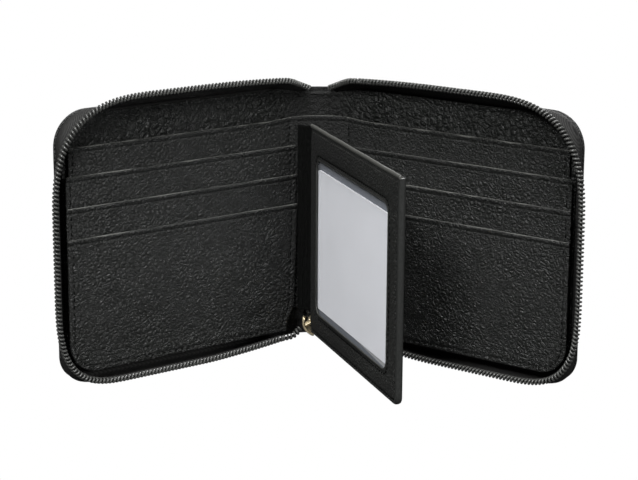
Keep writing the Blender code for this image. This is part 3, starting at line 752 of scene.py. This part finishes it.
def build_shell(word, side):
    """The outer leather, padded inside its sewn margin."""
    outer, bottom, top, low_radius, radius = COVER

    def top_of(u):
        return round_high(u, outer, top, radius) - 1.6 * (1 - smooth_step(u, -4.0, 8.0))

    def low_of(u):
        return round_low(u, outer, bottom, low_radius) + 0.5 * (1 - smooth_step(u, -4.0, 8.0))

    def heights(u):
        return column_heights(low_of(u), top_of(u), EDGE_LINES, EDGE_LINES,
                              row_shares(EDGE_LINES, EDGE_LINES, bottom, top, 1.8))

    def edge_fn(u, z):
        return rim_distance(u, z, low_of(u), top_of(u), COVER)

    def relief(u, z, face):
        if face > 0:
            return 0 * u
        edge = edge_fn(u, z)
        welt = 0.2 * bump_line(edge, 1.2, 0.9) - 0.22 * bump_line(edge, STITCH_INSET, 0.4)
        padded = 0.3 * smooth_step(edge, 4, 16)
        fold = 0.12 * waves(u * 2.0, z * 0.25, 41 + side, 7.0) * bump_line(u, 0.0, 4.0)
        return -(welt + padded * smooth_step(u, 4, 14) + fold * smooth_step(edge, 3, 8)
                 + 0.05 * waves(u, z, 43 + side, 15.0))

    long_sheet(word, side, "shell_leather", SHELL_RUN, outer, heights, 1.25, relief, edge_fn, SHELL,
               ("cover_leather", "leather_fold"), "spine_leather")


def build_edge_rolls(word, side):
    """The top edges, coloured lighter than the leather as a painted highlight: three on the cover
    and two across the spine.
    """
    parts = []
    for name in FRONT_LEAVES:
        top, front, outer = POCKET_TOPS[name], POCKET_FRONTS[name], POCKET_OUTERS[name]
        u = np.linspace(pocket_inner(np.array(top)) + 0.3, outer - 0.4, 90)
        height = top - 0.33 + 0.05 * waves(u, 0 * u, len(name) + side, 24.0)
        parts.append(tube(cover_points(side, u, front - 0.3, height), 0.4, 10))
    fixed(word + "_pocket_edges", word + "_cover", joined(parts), ROLL_HIGHLIGHT)
    for name, run, forward, end, radius, top_of, below, material in (
            ("back_pocket_edge", BACK_RUN, 0.1, 99.8, 0.46, back_pocket_top, 0.38, ROLL_HIGHLIGHT),
            ("lining_edge", LINING_RUN, 0.1, 86.0, 0.34, lining_top, 0.3, PIPING_HIGHLIGHT)):
        spine, depth, start, ends = run
        line, origin = across_spine(spine, depth + forward, start)
        u = np.linspace(0, origin + end, 150) - origin
        points, _ = resample(line, u + origin)
        edge = np.column_stack([side * points[:, 0], points[:, 1], top_of(u) - below])
        bent(f"{word}_{name}", fold_ends(side, ends), tube(edge, radius, 10),
             material)


def build_cover_stitches(word, side):
    """The rows that sew the pocket leaves down, and the row round the cover's outside."""

    def on_pockets(a, b, lift):
        leaves = [name for name, top in POCKET_TOPS.items() if b < top + 0.05]
        return cover_points(side, a, POCKET_FRONTS[leaves[-1]] - 0.14 + lift, b)

    def on_shell(a, b, lift):
        return cover_points(side, a, SHELL_FACE + 0.1 - lift, b)

    def inner_row(z):
        return pocket_inner(z) + 2.6

    low, turn = POCKET_BOTTOM + 1.4, POCKET_CORNER - STITCH_INSET
    outer = POCKET_OUTERS["card_pocket_lower"] - STITCH_INSET
    parts = stitch_row([(inner_row(low), low)]
                       + arc(outer - turn, low + turn, turn, -QUARTER, 0, 10)
                       + [(outer - 0.5, 53.0)], on_pockets)
    parts += stitch_row([(inner_row(z), z) for z in np.linspace(low + 1.5, 53.4, 12)], on_pockets)
    for name, front in (("card_pocket_middle", "card_pocket_lower"),
                        ("card_pocket_upper", "card_pocket_middle"),
                        ("pocket_back", "card_pocket_upper")):
        above, below = POCKET_TOPS[name], POCKET_TOPS[front]
        edge = POCKET_OUTERS[name] - STITCH_INSET
        parts += stitch_row([(edge, below + 0.6), (edge, above - 2.0)], on_pockets)
        parts += stitch_row([(inner_row(below), below + 0.6), (inner_row(above), above - 2.0)],
                            on_pockets)
    fixed(word + "_pocket_stitches", word + "_cover", joined(parts), THREAD)

    outer, bottom, top, low_radius, radius = COVER
    low_radius, radius = low_radius - STITCH_INSET, radius - STITCH_INSET
    right, bottom, top = outer - STITCH_INSET, bottom + STITCH_INSET, top - STITCH_INSET
    run = [(6.0, bottom)]
    run += arc(right - low_radius, bottom + low_radius, low_radius, -QUARTER, 0, 12)
    run += arc(right - radius, top - radius, radius, 0, QUARTER, 12) + [(6.0, top)]
    fixed(word + "_shell_stitches", word + "_cover", joined(stitch_row(run, on_shell)), THREAD)


# ---------------------------------------------------------------- zip

ZIP_START = 11.0
COIL_DEPTH = 5.9
COIL_PITCH = 1.5
COIL_WIRE = 0.42
COIL_OUTER, COIL_BOTTOM, COIL_TOP = 108.2, 1.1, 104.35
COIL_CORNERS = ((30.2, 36.9, 3.3), (42.2, 42.35, 2.85))
COIL_END_RISE, COIL_END_DROP, COIL_END_LENGTH = 2.3, 1.0, 35.0
TAPE_ROOT = -2.05
FEET = {"left": [(-7.3, -2.6, 6.9), (-8.3, -3.0, 5.2), (-10.3, -3.8, 3.9)],
        "right": [(1.0, 0.0, 5.3), (3.2, -1.2, 4.8), (7.6, -3.2, 3.7)]}


def corner_bend(center, corner, start, end, steps=48):
    """Points round a soft corner, from its reach across and up and its fullness (2 is round)."""
    across, up, fullness = corner
    angles = np.radians(np.linspace(start, end, steps + 1))

    def full(wave):
        return np.sign(wave) * np.abs(wave) ** (2 / fullness)

    return np.stack([center[0] + across * full(np.cos(angles)),
                     center[1] + up * full(np.sin(angles))], 1)


def rim_run(outer, bottom, top, low_corner, high_corner, rise=0.0, drop=0.0, steps=36):
    """The rim from the spine along the bottom, up the free edge and back along the top."""
    low_center = (outer - low_corner[0], bottom + low_corner[1])
    high_center = (outer - high_corner[0], top - high_corner[1])

    def end_share(u):
        return np.clip(1 - (u - ZIP_START) / COIL_END_LENGTH, 0, 1)

    low_u = np.linspace(ZIP_START, low_center[0], steps)[:-1]
    high_u = np.linspace(high_center[0], ZIP_START, steps)[1:]
    return np.concatenate([
        np.stack([low_u, bottom + rise * end_share(low_u) ** 1.5], 1),
        corner_bend(low_center, low_corner, -90, 0), corner_bend(high_center, high_corner, 0, 90),
        np.stack([high_u, top - drop * end_share(high_u) ** 2], 1)])


def coil_run(inset=0.0):
    """The coil's run round the rim, or one inset from it."""
    low, high = ((c[0] - inset, c[1] - inset, c[2]) for c in COIL_CORNERS)
    return rim_run(COIL_OUTER - inset, COIL_BOTTOM + inset, COIL_TOP - inset, low, high,
                   COIL_END_RISE, COIL_END_DROP)


def helix(line, across, pitch=COIL_PITCH, high=0.72, wide=0.92):
    """A coil round a line of points. across is the direction of the coil's width."""
    total = line_length(line)
    positions = np.linspace(0, total, int(total / pitch * 14) + 1)
    middle, tangent = resample(line, positions)
    across = np.asarray(across, float)
    across = across - tangent * (tangent @ across)[:, None]
    across /= np.linalg.norm(across, axis=1, keepdims=True)
    angle = 2 * math.pi * positions / pitch

    def squared(wave):
        return np.sign(wave) * np.abs(wave) ** 0.7

    return (middle + np.cross(tangent, across) * (squared(np.cos(angle)) * high)[:, None]
            + across * (squared(np.sin(angle)) * wide)[:, None])


def tape_sheet(grid, half):
    """A thin sheet through a grid of points."""
    normal = np.cross(np.gradient(grid, axis=0), np.gradient(grid, axis=1))
    normal /= np.maximum(np.linalg.norm(normal, axis=2, keepdims=True), 1e-9)
    return slab(grid + normal * half, grid - normal * half)


def build_zip(word, side):
    """The coil round a cover's rim, and the tape from under the cover leather up to the coil."""
    cover = word + "_cover"
    coil = coil_run()
    line = cover_points(side, coil[:, 0], COIL_DEPTH, coil[:, 1])
    inward = cover_points(side, 0.0, 1.0, 0.0) - cover_points(side, 0.0, 0.0, 0.0)
    fixed(word + "_zip_teeth", cover, tube(helix(line, inward), COIL_WIRE), COIL,
          (word + "_zip_coil",))
    fixed(word + "_zip_core", cover, tube(line[::2], COIL_WIRE), CORD)

    def cover_run(inset):
        outer, bottom, top, *corners = COVER
        low, high = ((radius - inset, radius - inset, 2) for radius in corners)
        return rim_run(outer - inset, bottom + inset, top - inset, low, high)

    bulge = rim_run(104.6, 1.0, 101.0, (14, 15, 2.6), (20, 18, 2.6), COIL_END_RISE)
    rows = []
    for run, depth in ((cover_run(5.0), TAPE_ROOT), (cover_run(0.9), TAPE_ROOT), (bulge, 2.0),
                       (coil_run(1.0), COIL_DEPTH - 0.3)):
        points = evenly(run, 240)
        rows.append(np.column_stack([points[:, 0], np.full(len(points), depth), points[:, 1]]))
    grid = catmull(rows, 6).transpose(1, 0, 2)
    fixed(word + "_zip_tape_woven", cover,
          tape_sheet(cover_points(side, grid[..., 0], grid[..., 1], grid[..., 2]), 0.22), TAPE,
          (word + "_zip_tape",))
    build_zip_ends(word, side, inward)


def build_zip_ends(word, side, inward):
    """The zip's soft ends at the foot and the head of the spine, and the tape under the head."""
    low_end = cover_points(side, ZIP_START - 0.05, COIL_DEPTH, COIL_BOTTOM + COIL_END_RISE)
    foot = catmull([np.array(p) for p in FEET[word]] + [low_end], 8)
    drop = COIL_TOP - COIL_END_DROP
    high_end = cover_points(side, ZIP_START - 0.05, COIL_DEPTH, drop)
    tuck = np.array((side * 4.0, 7.7, 98.6))
    bend = [cover_points(side, u, w, drop - fall)
            for u, w, fall in ((0.5, 2.6, 2.75), (4.0, 4.4, 1.45), (7.5, 5.6, 0.45))]
    head = catmull([tuck] + bend + [high_end], 10)
    for name, line, end in (("_zip_foot", foot, low_end), ("_zip_head", head, high_end)):
        bent(word + name + "_teeth", (line[0], end), tube(helix(line, inward), COIL_WIRE),
             COIL, (word + name,))
        bent(word + name + "_core", (line[0], end), tube(line, COIL_WIRE), CORD)

    share = np.linspace(0, 1, len(head))
    root = cover_points(side, -3.2 + 14.4 * share, TAPE_ROOT, 95.5 - 0.3 * share)
    edge = cover_points(side, -3.2 + 14.4 * share, TAPE_ROOT, 96.4 + 2.8 * share)
    bulge = cover_points(side, -3.6 + 14.8 * share, 0.4 + 1.7 * share, 97.6 + 3.3 * share)
    under = head - np.array([0, 0, 0.7])
    grid = catmull([root, edge, bulge, under], 5).transpose(1, 0, 2)
    bent(word + "_zip_head_tape", (tuck, high_end), tape_sheet(grid, 0.2), TAPE)


# ---------------------------------------------------------------- flap

FLAP_FACE = 1.3
FLAP_LEATHER = 0.65
FLAP_ROOT, FLAP_WIDTH, FLAP_LOW, FLAP_HIGH = 1.0, 92.0, 4.9, 86.5
FLAP_CORNER = 2.6
BINDING = 0.5          # how far the binding stands out past the leather's edge
WINDOW = (6.9, 14.6, 81.5, 74.4)
WINDOW_RADII = (4, 4, 4, 4)


def ring_outline(left, bottom, right, top, radii, side_count=40, corner_count=8):
    """A rounded rectangle's points, anticlockwise from the bottom left corner's end."""
    low_left, low_right, top_right, top_left = radii
    corners = ((left, bottom, low_left, math.pi), (right, bottom, low_right, 1.5 * math.pi),
               (right, top, top_right, 0.0), (left, top, top_left, 0.5 * math.pi))
    signs = ((1, 1), (-1, 1), (-1, -1), (1, -1))
    arcs = []
    for (x, z, radius, start), (sx, sz) in zip(corners, signs):
        a = start + np.linspace(0, math.pi / 2, corner_count)
        arcs.append(np.stack([x + sx * radius + radius * np.cos(a),
                              z + sz * radius + radius * np.sin(a)], 1))
    share = np.linspace(0, 1, side_count + 1)[1:-1, None]
    points = []
    for k in range(4):
        start, end = arcs[k][-1], arcs[(k + 1) % 4][0]
        points += [arcs[k], start + (end - start) * share]
    return np.concatenate(points)


def ring_slab(front, back):
    """A closed ring from two grids (layers, points round) whose last axis wraps round."""
    layers, around = front.shape[:2]
    count = layers * around
    vertices = np.concatenate([front.reshape(-1, 3), back.reshape(-1, 3)])
    index = np.arange(count).reshape(layers, around)
    nxt = np.roll(index, -1, axis=1)
    a, b = index[:-1].ravel(), nxt[:-1].ravel()
    c, d = nxt[1:].ravel(), index[1:].ravel()
    faces = [np.stack([a, b, c, d], 1), np.stack([a, d, c, b], 1) + count]
    for row in (0, layers - 1):
        p, q = index[row], nxt[row]
        faces.append(np.stack([p, q, q + count, p + count], 1))
    return vertices, np.concatenate(faces)


def on_flap(name, shape, material, nodes=(), smooth=60):
    fixed(name, "id_flap", shape, material, nodes, smooth)


def build_flap_front():
    """The front leather, a ring round the window with a groove under each row of stitches."""
    right = FLAP_WIDTH - BINDING
    inner = ring_outline(*WINDOW, WINDOW_RADII)
    outer = ring_outline(FLAP_ROOT, FLAP_LOW + BINDING, right, FLAP_HIGH,
                         (0.6, FLAP_CORNER, 0.8, 0.6))
    span = np.linalg.norm(outer - inner, axis=1)
    shares = np.array([0, 0.02, 0.05, 0.09, 0.14, 0.18, 0.215, 0.25, 0.29, 0.35, 0.45, 0.55, 0.65,
                       0.72,
                       0.78, 0.825, 0.86, 0.89, 0.93, 0.965, 0.985, 1.0])
    grid = inner[None] + (outer - inner)[None] * shares[:, None, None]
    t, z = grid[..., 0], grid[..., 1]
    from_window = span[None, :] * shares[:, None]
    from_edge = np.minimum(np.minimum(right - t, z - FLAP_LOW - BINDING), FLAP_HIGH - z)
    wide = smooth_step(span, 2.5, 7)[None, :]
    relief = (0.14 * bump_line(from_window, 0.5, 0.4)
              - 0.34 * bump_line(from_window, 1.7, 0.45) * wide
              - 0.4 * bump_line(from_edge, 1.1, 0.45) + 0.16 * smooth_step(from_window, 2.8, 5)
              * smooth_step(from_edge, 2.4, 4.5) + 0.04 * waves(t, z, 61, 9.0))
    roll = 0.25 * bump_line(FLAP_HIGH - z, 0.8, 0.8)
    edge = np.minimum(from_window, np.minimum(from_edge, t - FLAP_ROOT + 0.6))
    half = half_profile(edge, FLAP_LEATHER) / 2
    center = FLAP_FACE - FLAP_LEATHER / 2
    on_flap("flap_front_leather", ring_slab(flap_points(t, center + half + relief + roll - 0.1, z),
                                            flap_points(t, center - half, z)),
            FLAP, nodes=("flap_window_frame",), smooth=40)


def build_flap_back():
    """The plain back leather, a little lower than the front so that the card can go in."""
    right, top = FLAP_WIDTH - BINDING, FLAP_HIGH - 1.1
    low = FLAP_LOW + BINDING
    columns = np.concatenate([FLAP_ROOT + np.array(EDGE_LINES),
                              np.linspace(FLAP_ROOT + 4.3, FLAP_WIDTH - 4.8, 60)[1:-1],
                              right - np.array(EDGE_LINES)[::-1]])
    lows = round_low(columns, right, low, FLAP_CORNER)
    z = column_heights(lows, np.full_like(columns, top), EDGE_LINES, EDGE_LINES,
                       row_shares(EDGE_LINES, EDGE_LINES, FLAP_LOW, top, 1.6))
    t = np.broadcast_to(columns[None, :], z.shape)
    edge = np.minimum(np.minimum(t - FLAP_ROOT + 0.6, top - z),
                      corner_distance(t, z, right, low, FLAP_CORNER))
    relief = (-0.2 * bump_line(edge, 2.0, 0.4) + 0.14 * smooth_step(edge, 2.5, 7)
              + 0.05 * waves(t, z, 67, 12.0) * smooth_step(edge, 2, 6)
              + 0.1 * bump_line(top - z, 0.8, 0.8))
    half = half_profile(edge, FLAP_LEATHER) / 2
    center = FLAP_LEATHER / 2 - FLAP_FACE
    on_flap("flap_back_leather",
            slab(flap_points(t, center + half, z), flap_points(t, center - half - relief, z)),
            FLAP, nodes=("flap_back_panel",), smooth=40)


def thin_sheet(name, outline, depth, thickness, material):
    """A flat sheet in the flap's plane, fanned from its middle."""
    outline = np.array(outline, float)
    count = len(outline)
    rim = np.concatenate([outline, [outline.mean(axis=0)]])
    vertices = [flap_points(rim[:, 0], n, rim[:, 1])
                for n in (depth + thickness / 2, depth - thickness / 2)]
    faces = []
    for k in range(count):
        following = (k + 1) % count
        faces.append([k, following, count])
        faces.append([following + count + 1, k + count + 1, 2 * count + 1])
        faces.append([following, k, k + count + 1, following + count + 1])
    on_flap(name, (np.concatenate(vertices), faces), material, smooth=50)


def build_sleeve():
    """The slate backing behind the card, and a grey corner sheet at the card's lower edge that is a
    painted shadow.
    """
    left, bottom, right, top = WINDOW
    backing = ring_outline(left - 2, bottom - 3, right + 3, top + 3, (2, 2, 2, 2), 12, 6)
    thin_sheet("sleeve_backing", backing, -0.62, 0.03, SLATE)
    # Painted shadow: a grey corner sheet at the card's lower edge.
    shadow_corner = [(24.0, 16.6), (right + 2, 13.4), (right + 2, 17.2), (24.0, 17.2)]
    thin_sheet("sleeve_painted_shadow", shadow_corner, -0.585, 0.02, CARD_SHADOW)


def build_flap_binding():
    """The rounded leather that wraps the flap's bottom and front edges."""
    run = [(FLAP_ROOT, FLAP_LOW)] + arc(FLAP_WIDTH - 3, FLAP_LOW + 3, 3, -QUARTER, 0, 12)
    run += [(FLAP_WIDTH, FLAP_HIGH - 1.2)]
    points, tangent = resample(run, np.linspace(0, line_length(run), 150))
    inward = np.stack([-tangent[:, 1], tangent[:, 0]], 1)
    profile = [(0.95 - 0.95 * math.cos(a) ** 0.8 + 0.06 * math.exp(-(a / 0.25) ** 2),
                1.28 * math.sin(a))
               for a in np.linspace(-QUARTER, QUARTER, 13)]
    profile = [(1.5, -1.3)] + profile + [(1.5, 1.3), (1.5, 0.65), (1.5, 0.0), (1.5, -0.65)]
    depth, n = np.array(profile).T
    place = points[:, None, :] + inward[:, None, :] * depth[None, :, None]
    on_flap("flap_edge_leather", loft(flap_points(place[..., 0], n[None, :], place[..., 1])), EDGE,
            nodes=("flap_edge_binding",), smooth=50)


def build_window_lip():
    """The thin turned edge round the window."""
    left, bottom, right, top = WINDOW
    ring = ring_outline(left - 0.1, bottom - 0.1, right + 0.1, top + 0.1, WINDOW_RADII)
    ring = np.concatenate([ring, ring[:2]])
    # The lip is coloured lighter than the flap as a painted highlight.
    on_flap("flap_window_lip", tube(flap_points(ring[:, 0], FLAP_FACE - 0.18, ring[:, 1]), 0.26),
            PIPING_HIGHLIGHT)


def build_flap_roll():
    """The rolled top edge of the flap's front leather, flat enough for the card to slide past it,
    and curled shut at its free end."""
    z, depth, flatness = FLAP_HIGH - 0.6, 1.02, 0.64
    line = [(t, 0.03 * math.sin(t * 0.7), z + 0.05 * math.sin(t * 0.23))
            for t in np.linspace(FLAP_ROOT - 0.4, FLAP_WIDTH + 0.1, 90)]
    points, faces = tube(line, 0.82, 14)
    points = flap_points(points[:, 0], depth + flatness * points[:, 1], points[:, 2])
    # The roll and its curled end are coloured lighter than the flap as a painted highlight.
    on_flap("flap_top_roll", (points, faces), ROLL_HIGHLIGHT, smooth=50)
    spiral = []
    for k in range(40):
        a = k / 39 * 3.4 * math.pi
        radius = 0.72 * (1 - 0.8 * k / 39)
        spiral.append(flap_points(FLAP_WIDTH + 0.15, depth + flatness * radius * math.cos(a),
                                  z + radius * math.sin(a)))
    on_flap("flap_roll_end", tube(spiral, 0.13, 6), ROLL_HIGHLIGHT, smooth=50)


def build_flap_stitches():
    """Rows round the window and round the flap's edge, on both faces."""
    left, bottom, right, top = WINDOW

    def on_front(a, b, lift):
        return flap_points(a, FLAP_FACE - 0.12 + lift, b)

    def on_back(a, b, lift):
        return flap_points(a, -FLAP_FACE + 0.1 - lift, b)

    gap, bend = 1.7, 5.5
    window = [(left - 1.6, top - 4), (left + 0.4, top + gap - 0.4), (left + 2.4, top + gap)]
    window += arc(right + gap - bend, top + gap - bend, bend, QUARTER, 0, 10)
    window += arc(right + gap - bend, bottom - gap + bend, bend, 0, -QUARTER, 10)
    window += [(left + 2.4, bottom - gap)]
    inset, row_top = 1.6, FLAP_HIGH - 2.7
    edge = [(FLAP_ROOT + 1.5, row_top), (FLAP_WIDTH - inset, row_top),
            (FLAP_WIDTH - inset, FLAP_LOW + 3.4), (FLAP_WIDTH - inset - 2.2, FLAP_LOW + inset),
            (FLAP_ROOT + 1.5, FLAP_LOW + inset)]
    for name, line, face, pitch, length, thread in (
            ("window", window, on_front, 2.1, 1.5, THREAD),
            ("front", edge[1:], on_front, 2.3, 1.6, THREAD),
            ("top", edge[:2], on_front, 2.0, 1.2, PALE_THREAD),
            ("back", edge[1:], on_back, 2.3, 1.6, THREAD)):
        on_flap(f"flap_{name}_stitches", joined(stitch_row(line, face, pitch, length)), thread)


def build_flap_hinge():
    """The gathered strip that joins the flap to the divider. It is fixed at rest and does not
    follow the left cover, though that cover's pockets come where the strip stands."""
    low, high = DIVIDER_BOTTOM, 85.7
    plan = catmull([(-8.0, 0.9), (-6.6, 0.3), (-5.4, -0.3), (-4.1, -1.2), (-3.0, -2.1),
                    (-2.6, -2.5)], 8)
    along = np.linspace(0, line_length(plan), 60)
    points, tangent = resample(plan, along)
    rows = np.concatenate([low + np.array(EDGE_LINES), np.linspace(17.8, 81.5, 60)[1:-1],
                           high - np.array(EDGE_LINES)[::-1]])
    s, z = np.meshgrid(along, rows)
    edge = np.minimum(high - z, z - low)
    folds = (0.16 * np.sin(s * 3.6 + 0.9 * np.sin(z * 0.11) + 0.4)
             + 0.1 * np.sin(s * 7.7 + 0.5 * np.sin(z * 0.2))
             + 0.1 * waves(s * 2.6, z * 0.3, 71, 5.0))
    folds = folds * smooth_step(edge, 0.8, 4) + 0.28 * bump_line(high - z, 0.7, 0.7)
    thick = half_profile(edge, FLAP_LEATHER)
    # Its colour is darker than the other leather as painted shade of the recess.
    bent("flap_hinge_leather",
         ((-3.0, -2.1, BLEND_HEIGHT), (-7.6, 0.7, BLEND_HEIGHT)),
         slab(plan_surface(points, tangent, z, thick * 0.16 + folds * 0.6),
              plan_surface(points, tangent, z, -thick / 2 + folds * 0.3)),
         HINGE_SHADE, ("flap_hinge_strip",), 40)


# ---------------------------------------------------------------- slider

SLIDER_PLACE = np.array([-3.8, 3.1, 7.7])
SLIDER_ROLL = math.radians(62.5)      # the wings slope down to the right
SLIDER_ACROSS = np.array([math.cos(SLIDER_ROLL), 0, -math.sin(SLIDER_ROLL)])
SLIDER_BACK = np.array([0.0, 1.0, 0.0])
SLIDER_UP = -np.cross(SLIDER_BACK, SLIDER_ACROSS)
HALF_LENGTH = 3.5
BRIDGE_REACH = 3.9
TAB_ANGLE = math.radians(60)


def slider_points(a, n, l):
    """a along the wings' width, n towards the bridge, l towards the tail."""
    a, n, l = np.broadcast_arrays(np.asarray(a, float), np.asarray(n, float), np.asarray(l, float))
    return (SLIDER_PLACE + a[..., None] * SLIDER_ACROSS + n[..., None] * SLIDER_UP
            + l[..., None] * SLIDER_BACK)


def slider_wing(lower):
    """One wing, wide at the nose and narrower at the tail. The lower one is a curved crescent."""
    rows = np.linspace(-HALF_LENGTH, HALF_LENGTH, 25)
    half_width = 4.1 - 1.4 * smooth_step(rows, -1.2, 2.6)
    ends = np.sqrt(np.clip(1 - np.clip((np.abs(rows) - 2.5) / 1.02, 0, 1) ** 2, 0.02, 1))
    half_width = half_width * (0.72 + 0.28 * ends)
    columns = np.sin(np.linspace(-QUARTER, QUARTER, 25))
    a = half_width[:, None] * columns[None, :]
    l = np.broadcast_to(rows[:, None], a.shape)
    rim = np.minimum(half_width[:, None] - np.abs(a), (HALF_LENGTH - np.abs(l)))
    curl = 0.38 * np.abs(columns)[None, :] ** 4
    crown = 0.16 * (1 - columns[None, :] ** 2)
    half = half_profile(rim, 0.8) / 2
    if lower:
        sign, a, middle = -1, a * 1.05 + 1.0, 0.5 + 1.6 * (1 - columns[None, :] ** 2)
    else:
        sign, a, middle = 1, a * 0.45, 1.35 + crown - curl
    return slab(slider_points(a, sign * (middle + half), l),
                slider_points(a, sign * (middle - half), l))


def build_slider():
    """The casting: two wings, the post between them and the bridge that holds the tab."""
    post = np.array([(0, -3.2), (0.8, -2.6), (1.05, -1.9), (0.5, -0.6), (0, -0.1), (-0.5, -0.6),
                     (-1.05, -1.9), (-0.8, -2.6)])
    bridge = catmull([(0, 1.6, 2.9), (0, 3.3, 2.5), (0, BRIDGE_REACH, 1.2), (0, BRIDGE_REACH, -1.9),
                      (0, 3.4, -2.6), (0, 1.6, -2.85)], 8)
    parts = [slider_wing(False), slider_wing(True),
             loft(slider_points(post[None, :, 0], np.linspace(-1.2, 1.2, 5)[:, None],
                                post[None, :, 1])),
             tube(slider_points(*bridge.T), 0.52, 12)]
    fixed("slider_casting", "zip_slider", joined(parts), GOLD, ("slider_body",), 50)


def build_pull_tab():
    """The pull tab, hanging from the bridge's bar."""
    bar = SLIDER_PLACE + SLIDER_UP * BRIDGE_REACH + SLIDER_BACK * -0.6
    down = np.array([math.cos(TAB_ANGLE), 0, -math.sin(TAB_ANGLE)])
    wide = np.array([math.sin(TAB_ANGLE), 0, math.cos(TAB_ANGLE)])
    outer = ring_outline(-1.8, -1.5, 7.0, 1.5, (1.49, 1.49, 1.49, 1.49), 14, 8)
    inner = ring_outline(-0.95, -0.9, 1.6, 0.9, (0.89, 0.89, 0.89, 0.89), 14, 8)
    shares = np.array([0, 0.06, 0.15, 0.3, 0.7, 0.85, 0.94, 1.0])
    grid = inner[None] + (outer - inner)[None] * shares[:, None, None]
    half = 0.38 * np.sqrt(np.clip(1 - (np.abs(shares - 0.5) * 2) ** 6, 0.06, 1))[:, None]

    def tab_points(offset):
        return (bar + grid[..., 0][..., None] * down + grid[..., 1][..., None] * wide
                + (offset * np.ones(grid.shape[:2]))[..., None] * SLIDER_BACK)

    fixed("pull_tab_cast", "slider_pull", ring_slab(tab_points(-half), tab_points(half)), GOLD,
          ("pull_tab",), 50)


def build_closed_end():
    """The short closed length of the zip behind the slider."""
    x, y, z = SLIDER_PLACE
    tail = y + HALF_LENGTH
    chain = catmull([(x, tail + 0.8, z - 1.0), (x - 0.1, tail + 1.3, z - 0.7),
                     (x - 0.2, tail + 1.5, z + 0.8), (x - 0.3, tail + 1.5, z + 3.0)], 6)
    parts = [tube(helix(chain, (1, 0, 0), high=0.7, wide=0.7), 0.3, 6), tube(chain, 0.45)]
    fixed("zip_closed_teeth", "spine", joined(parts), COIL, ("zip_closed_end",))


# ---------------------------------------------------------------- put together

def recolor(node, material):
    NODES[node].data.materials.clear()
    NODES[node].data.materials.append(material)


for word, side in SIDES:
    build_shell(word, side)
    build_lining(word, side)
    build_back_pocket(word, side)
    for pocket in FRONT_LEAVES:
        panel_sheet(word, side, pocket)
    build_edge_rolls(word, side)
    build_cover_stitches(word, side)
    build_zip(word, side)
    recolor(word + "_cover_board", BOARD)
build_flap_front()
build_flap_back()
build_sleeve()
build_flap_binding()
build_flap_stitches()
build_flap_roll()
build_window_lip()
build_flap_hinge()
build_slider()
build_pull_tab()
build_closed_end()
recolor("window_film", FILM)
recolor("id_card", CARD)


# ---------------------------------------------------------------- stage, light and camera (metres)

def area_light(name, place, target, size, energy):
    data = bpy.data.lights.new(name, "AREA")
    data.shape = "RECTANGLE"
    data.size, data.size_y = size
    data.energy = energy
    lamp = bpy.data.objects.new(name, data)
    bpy.context.scene.collection.objects.link(lamp)
    lamp.location = place
    lamp.rotation_euler = (Vector(target) - Vector(place)).to_track_quat("-Z", "Y").to_euler()


floor_mesh = bpy.data.meshes.new("studio_floor")
floor_mesh.from_pydata([(-4, -4, -0.0002), (4, -4, -0.0002), (4, 4, -0.0002), (-4, 4, -0.0002)], [],
                       [(0, 1, 2, 3)])
floor = bpy.data.objects.new("studio_floor", floor_mesh)
bpy.context.scene.collection.objects.link(floor)
floor_material = bpy.data.materials.new("floor_white")
floor_material.use_nodes = True
floor_mesh.materials.append(floor_material)

world = bpy.data.worlds.new("studio")
world.use_nodes = True
bpy.context.scene.world = world


def white_backdrop(tree, kind, output_socket, dim):
    """White to look at, but only a dim grey as a source of light on the object."""
    tree.nodes.clear()
    output = tree.nodes.new("ShaderNodeOutput" + kind)
    shader = tree.nodes.new("ShaderNodeBackground" if kind == "World" else "ShaderNodeEmission")
    seen = tree.nodes.new("ShaderNodeLightPath").outputs["Is Camera Ray"]
    tree.links.new(value_range(tree, seen, 0.0, 1.0, dim, 1.0), shader.inputs["Strength"])
    tree.links.new(shader.outputs[0], output.inputs[output_socket])
    shader.inputs["Color"].default_value = (1, 1, 1, 1)


white_backdrop(world.node_tree, "World", "Surface", 0.11)
white_backdrop(floor_material.node_tree, "Material", "Surface", 0.08)

area_light("key", (-0.3, -0.8, 0.7), (0, 0, 0.05), (0.26, 0.26), 12.0)
area_light("fill", (0.6, -0.8, 0.4), (0, 0, 0.05), (0.26, 0.26), 4.6)
area_light("top", (0.0, -0.1, 0.9), (0, 0, 0.08), (0.4, 0.25), 9.0)
area_light("back", (0.3, 0.9, 0.5), (0, 0, 0.05), (0.6, 0.5), 7.0)

bpy.context.scene.view_settings.view_transform = "Standard"

CAMERA_PITCH, CAMERA_TILT = math.radians(14.08), math.radians(0.18)
CAMERA_DISTANCE = 0.7745
camera_data = bpy.data.cameras.new("camera")
camera_data.lens = 114.46
camera_data.sensor_width = 36.0
camera_data.clip_start = 0.01
camera = bpy.data.objects.new("camera", camera_data)
bpy.context.scene.collection.objects.link(camera)
target = Vector((0.00015, SHIFT_Y * 0.001, 0.04105))
back_and_up = Vector((0, -math.cos(CAMERA_PITCH), math.sin(CAMERA_PITCH)))
camera.location = target + CAMERA_DISTANCE * back_and_up
look = (target - camera.location).to_track_quat("-Z", "Y").to_matrix()
camera.rotation_euler = (look @ Matrix.Rotation(CAMERA_TILT, 3, "Z")).to_euler()
bpy.context.scene.camera = camera
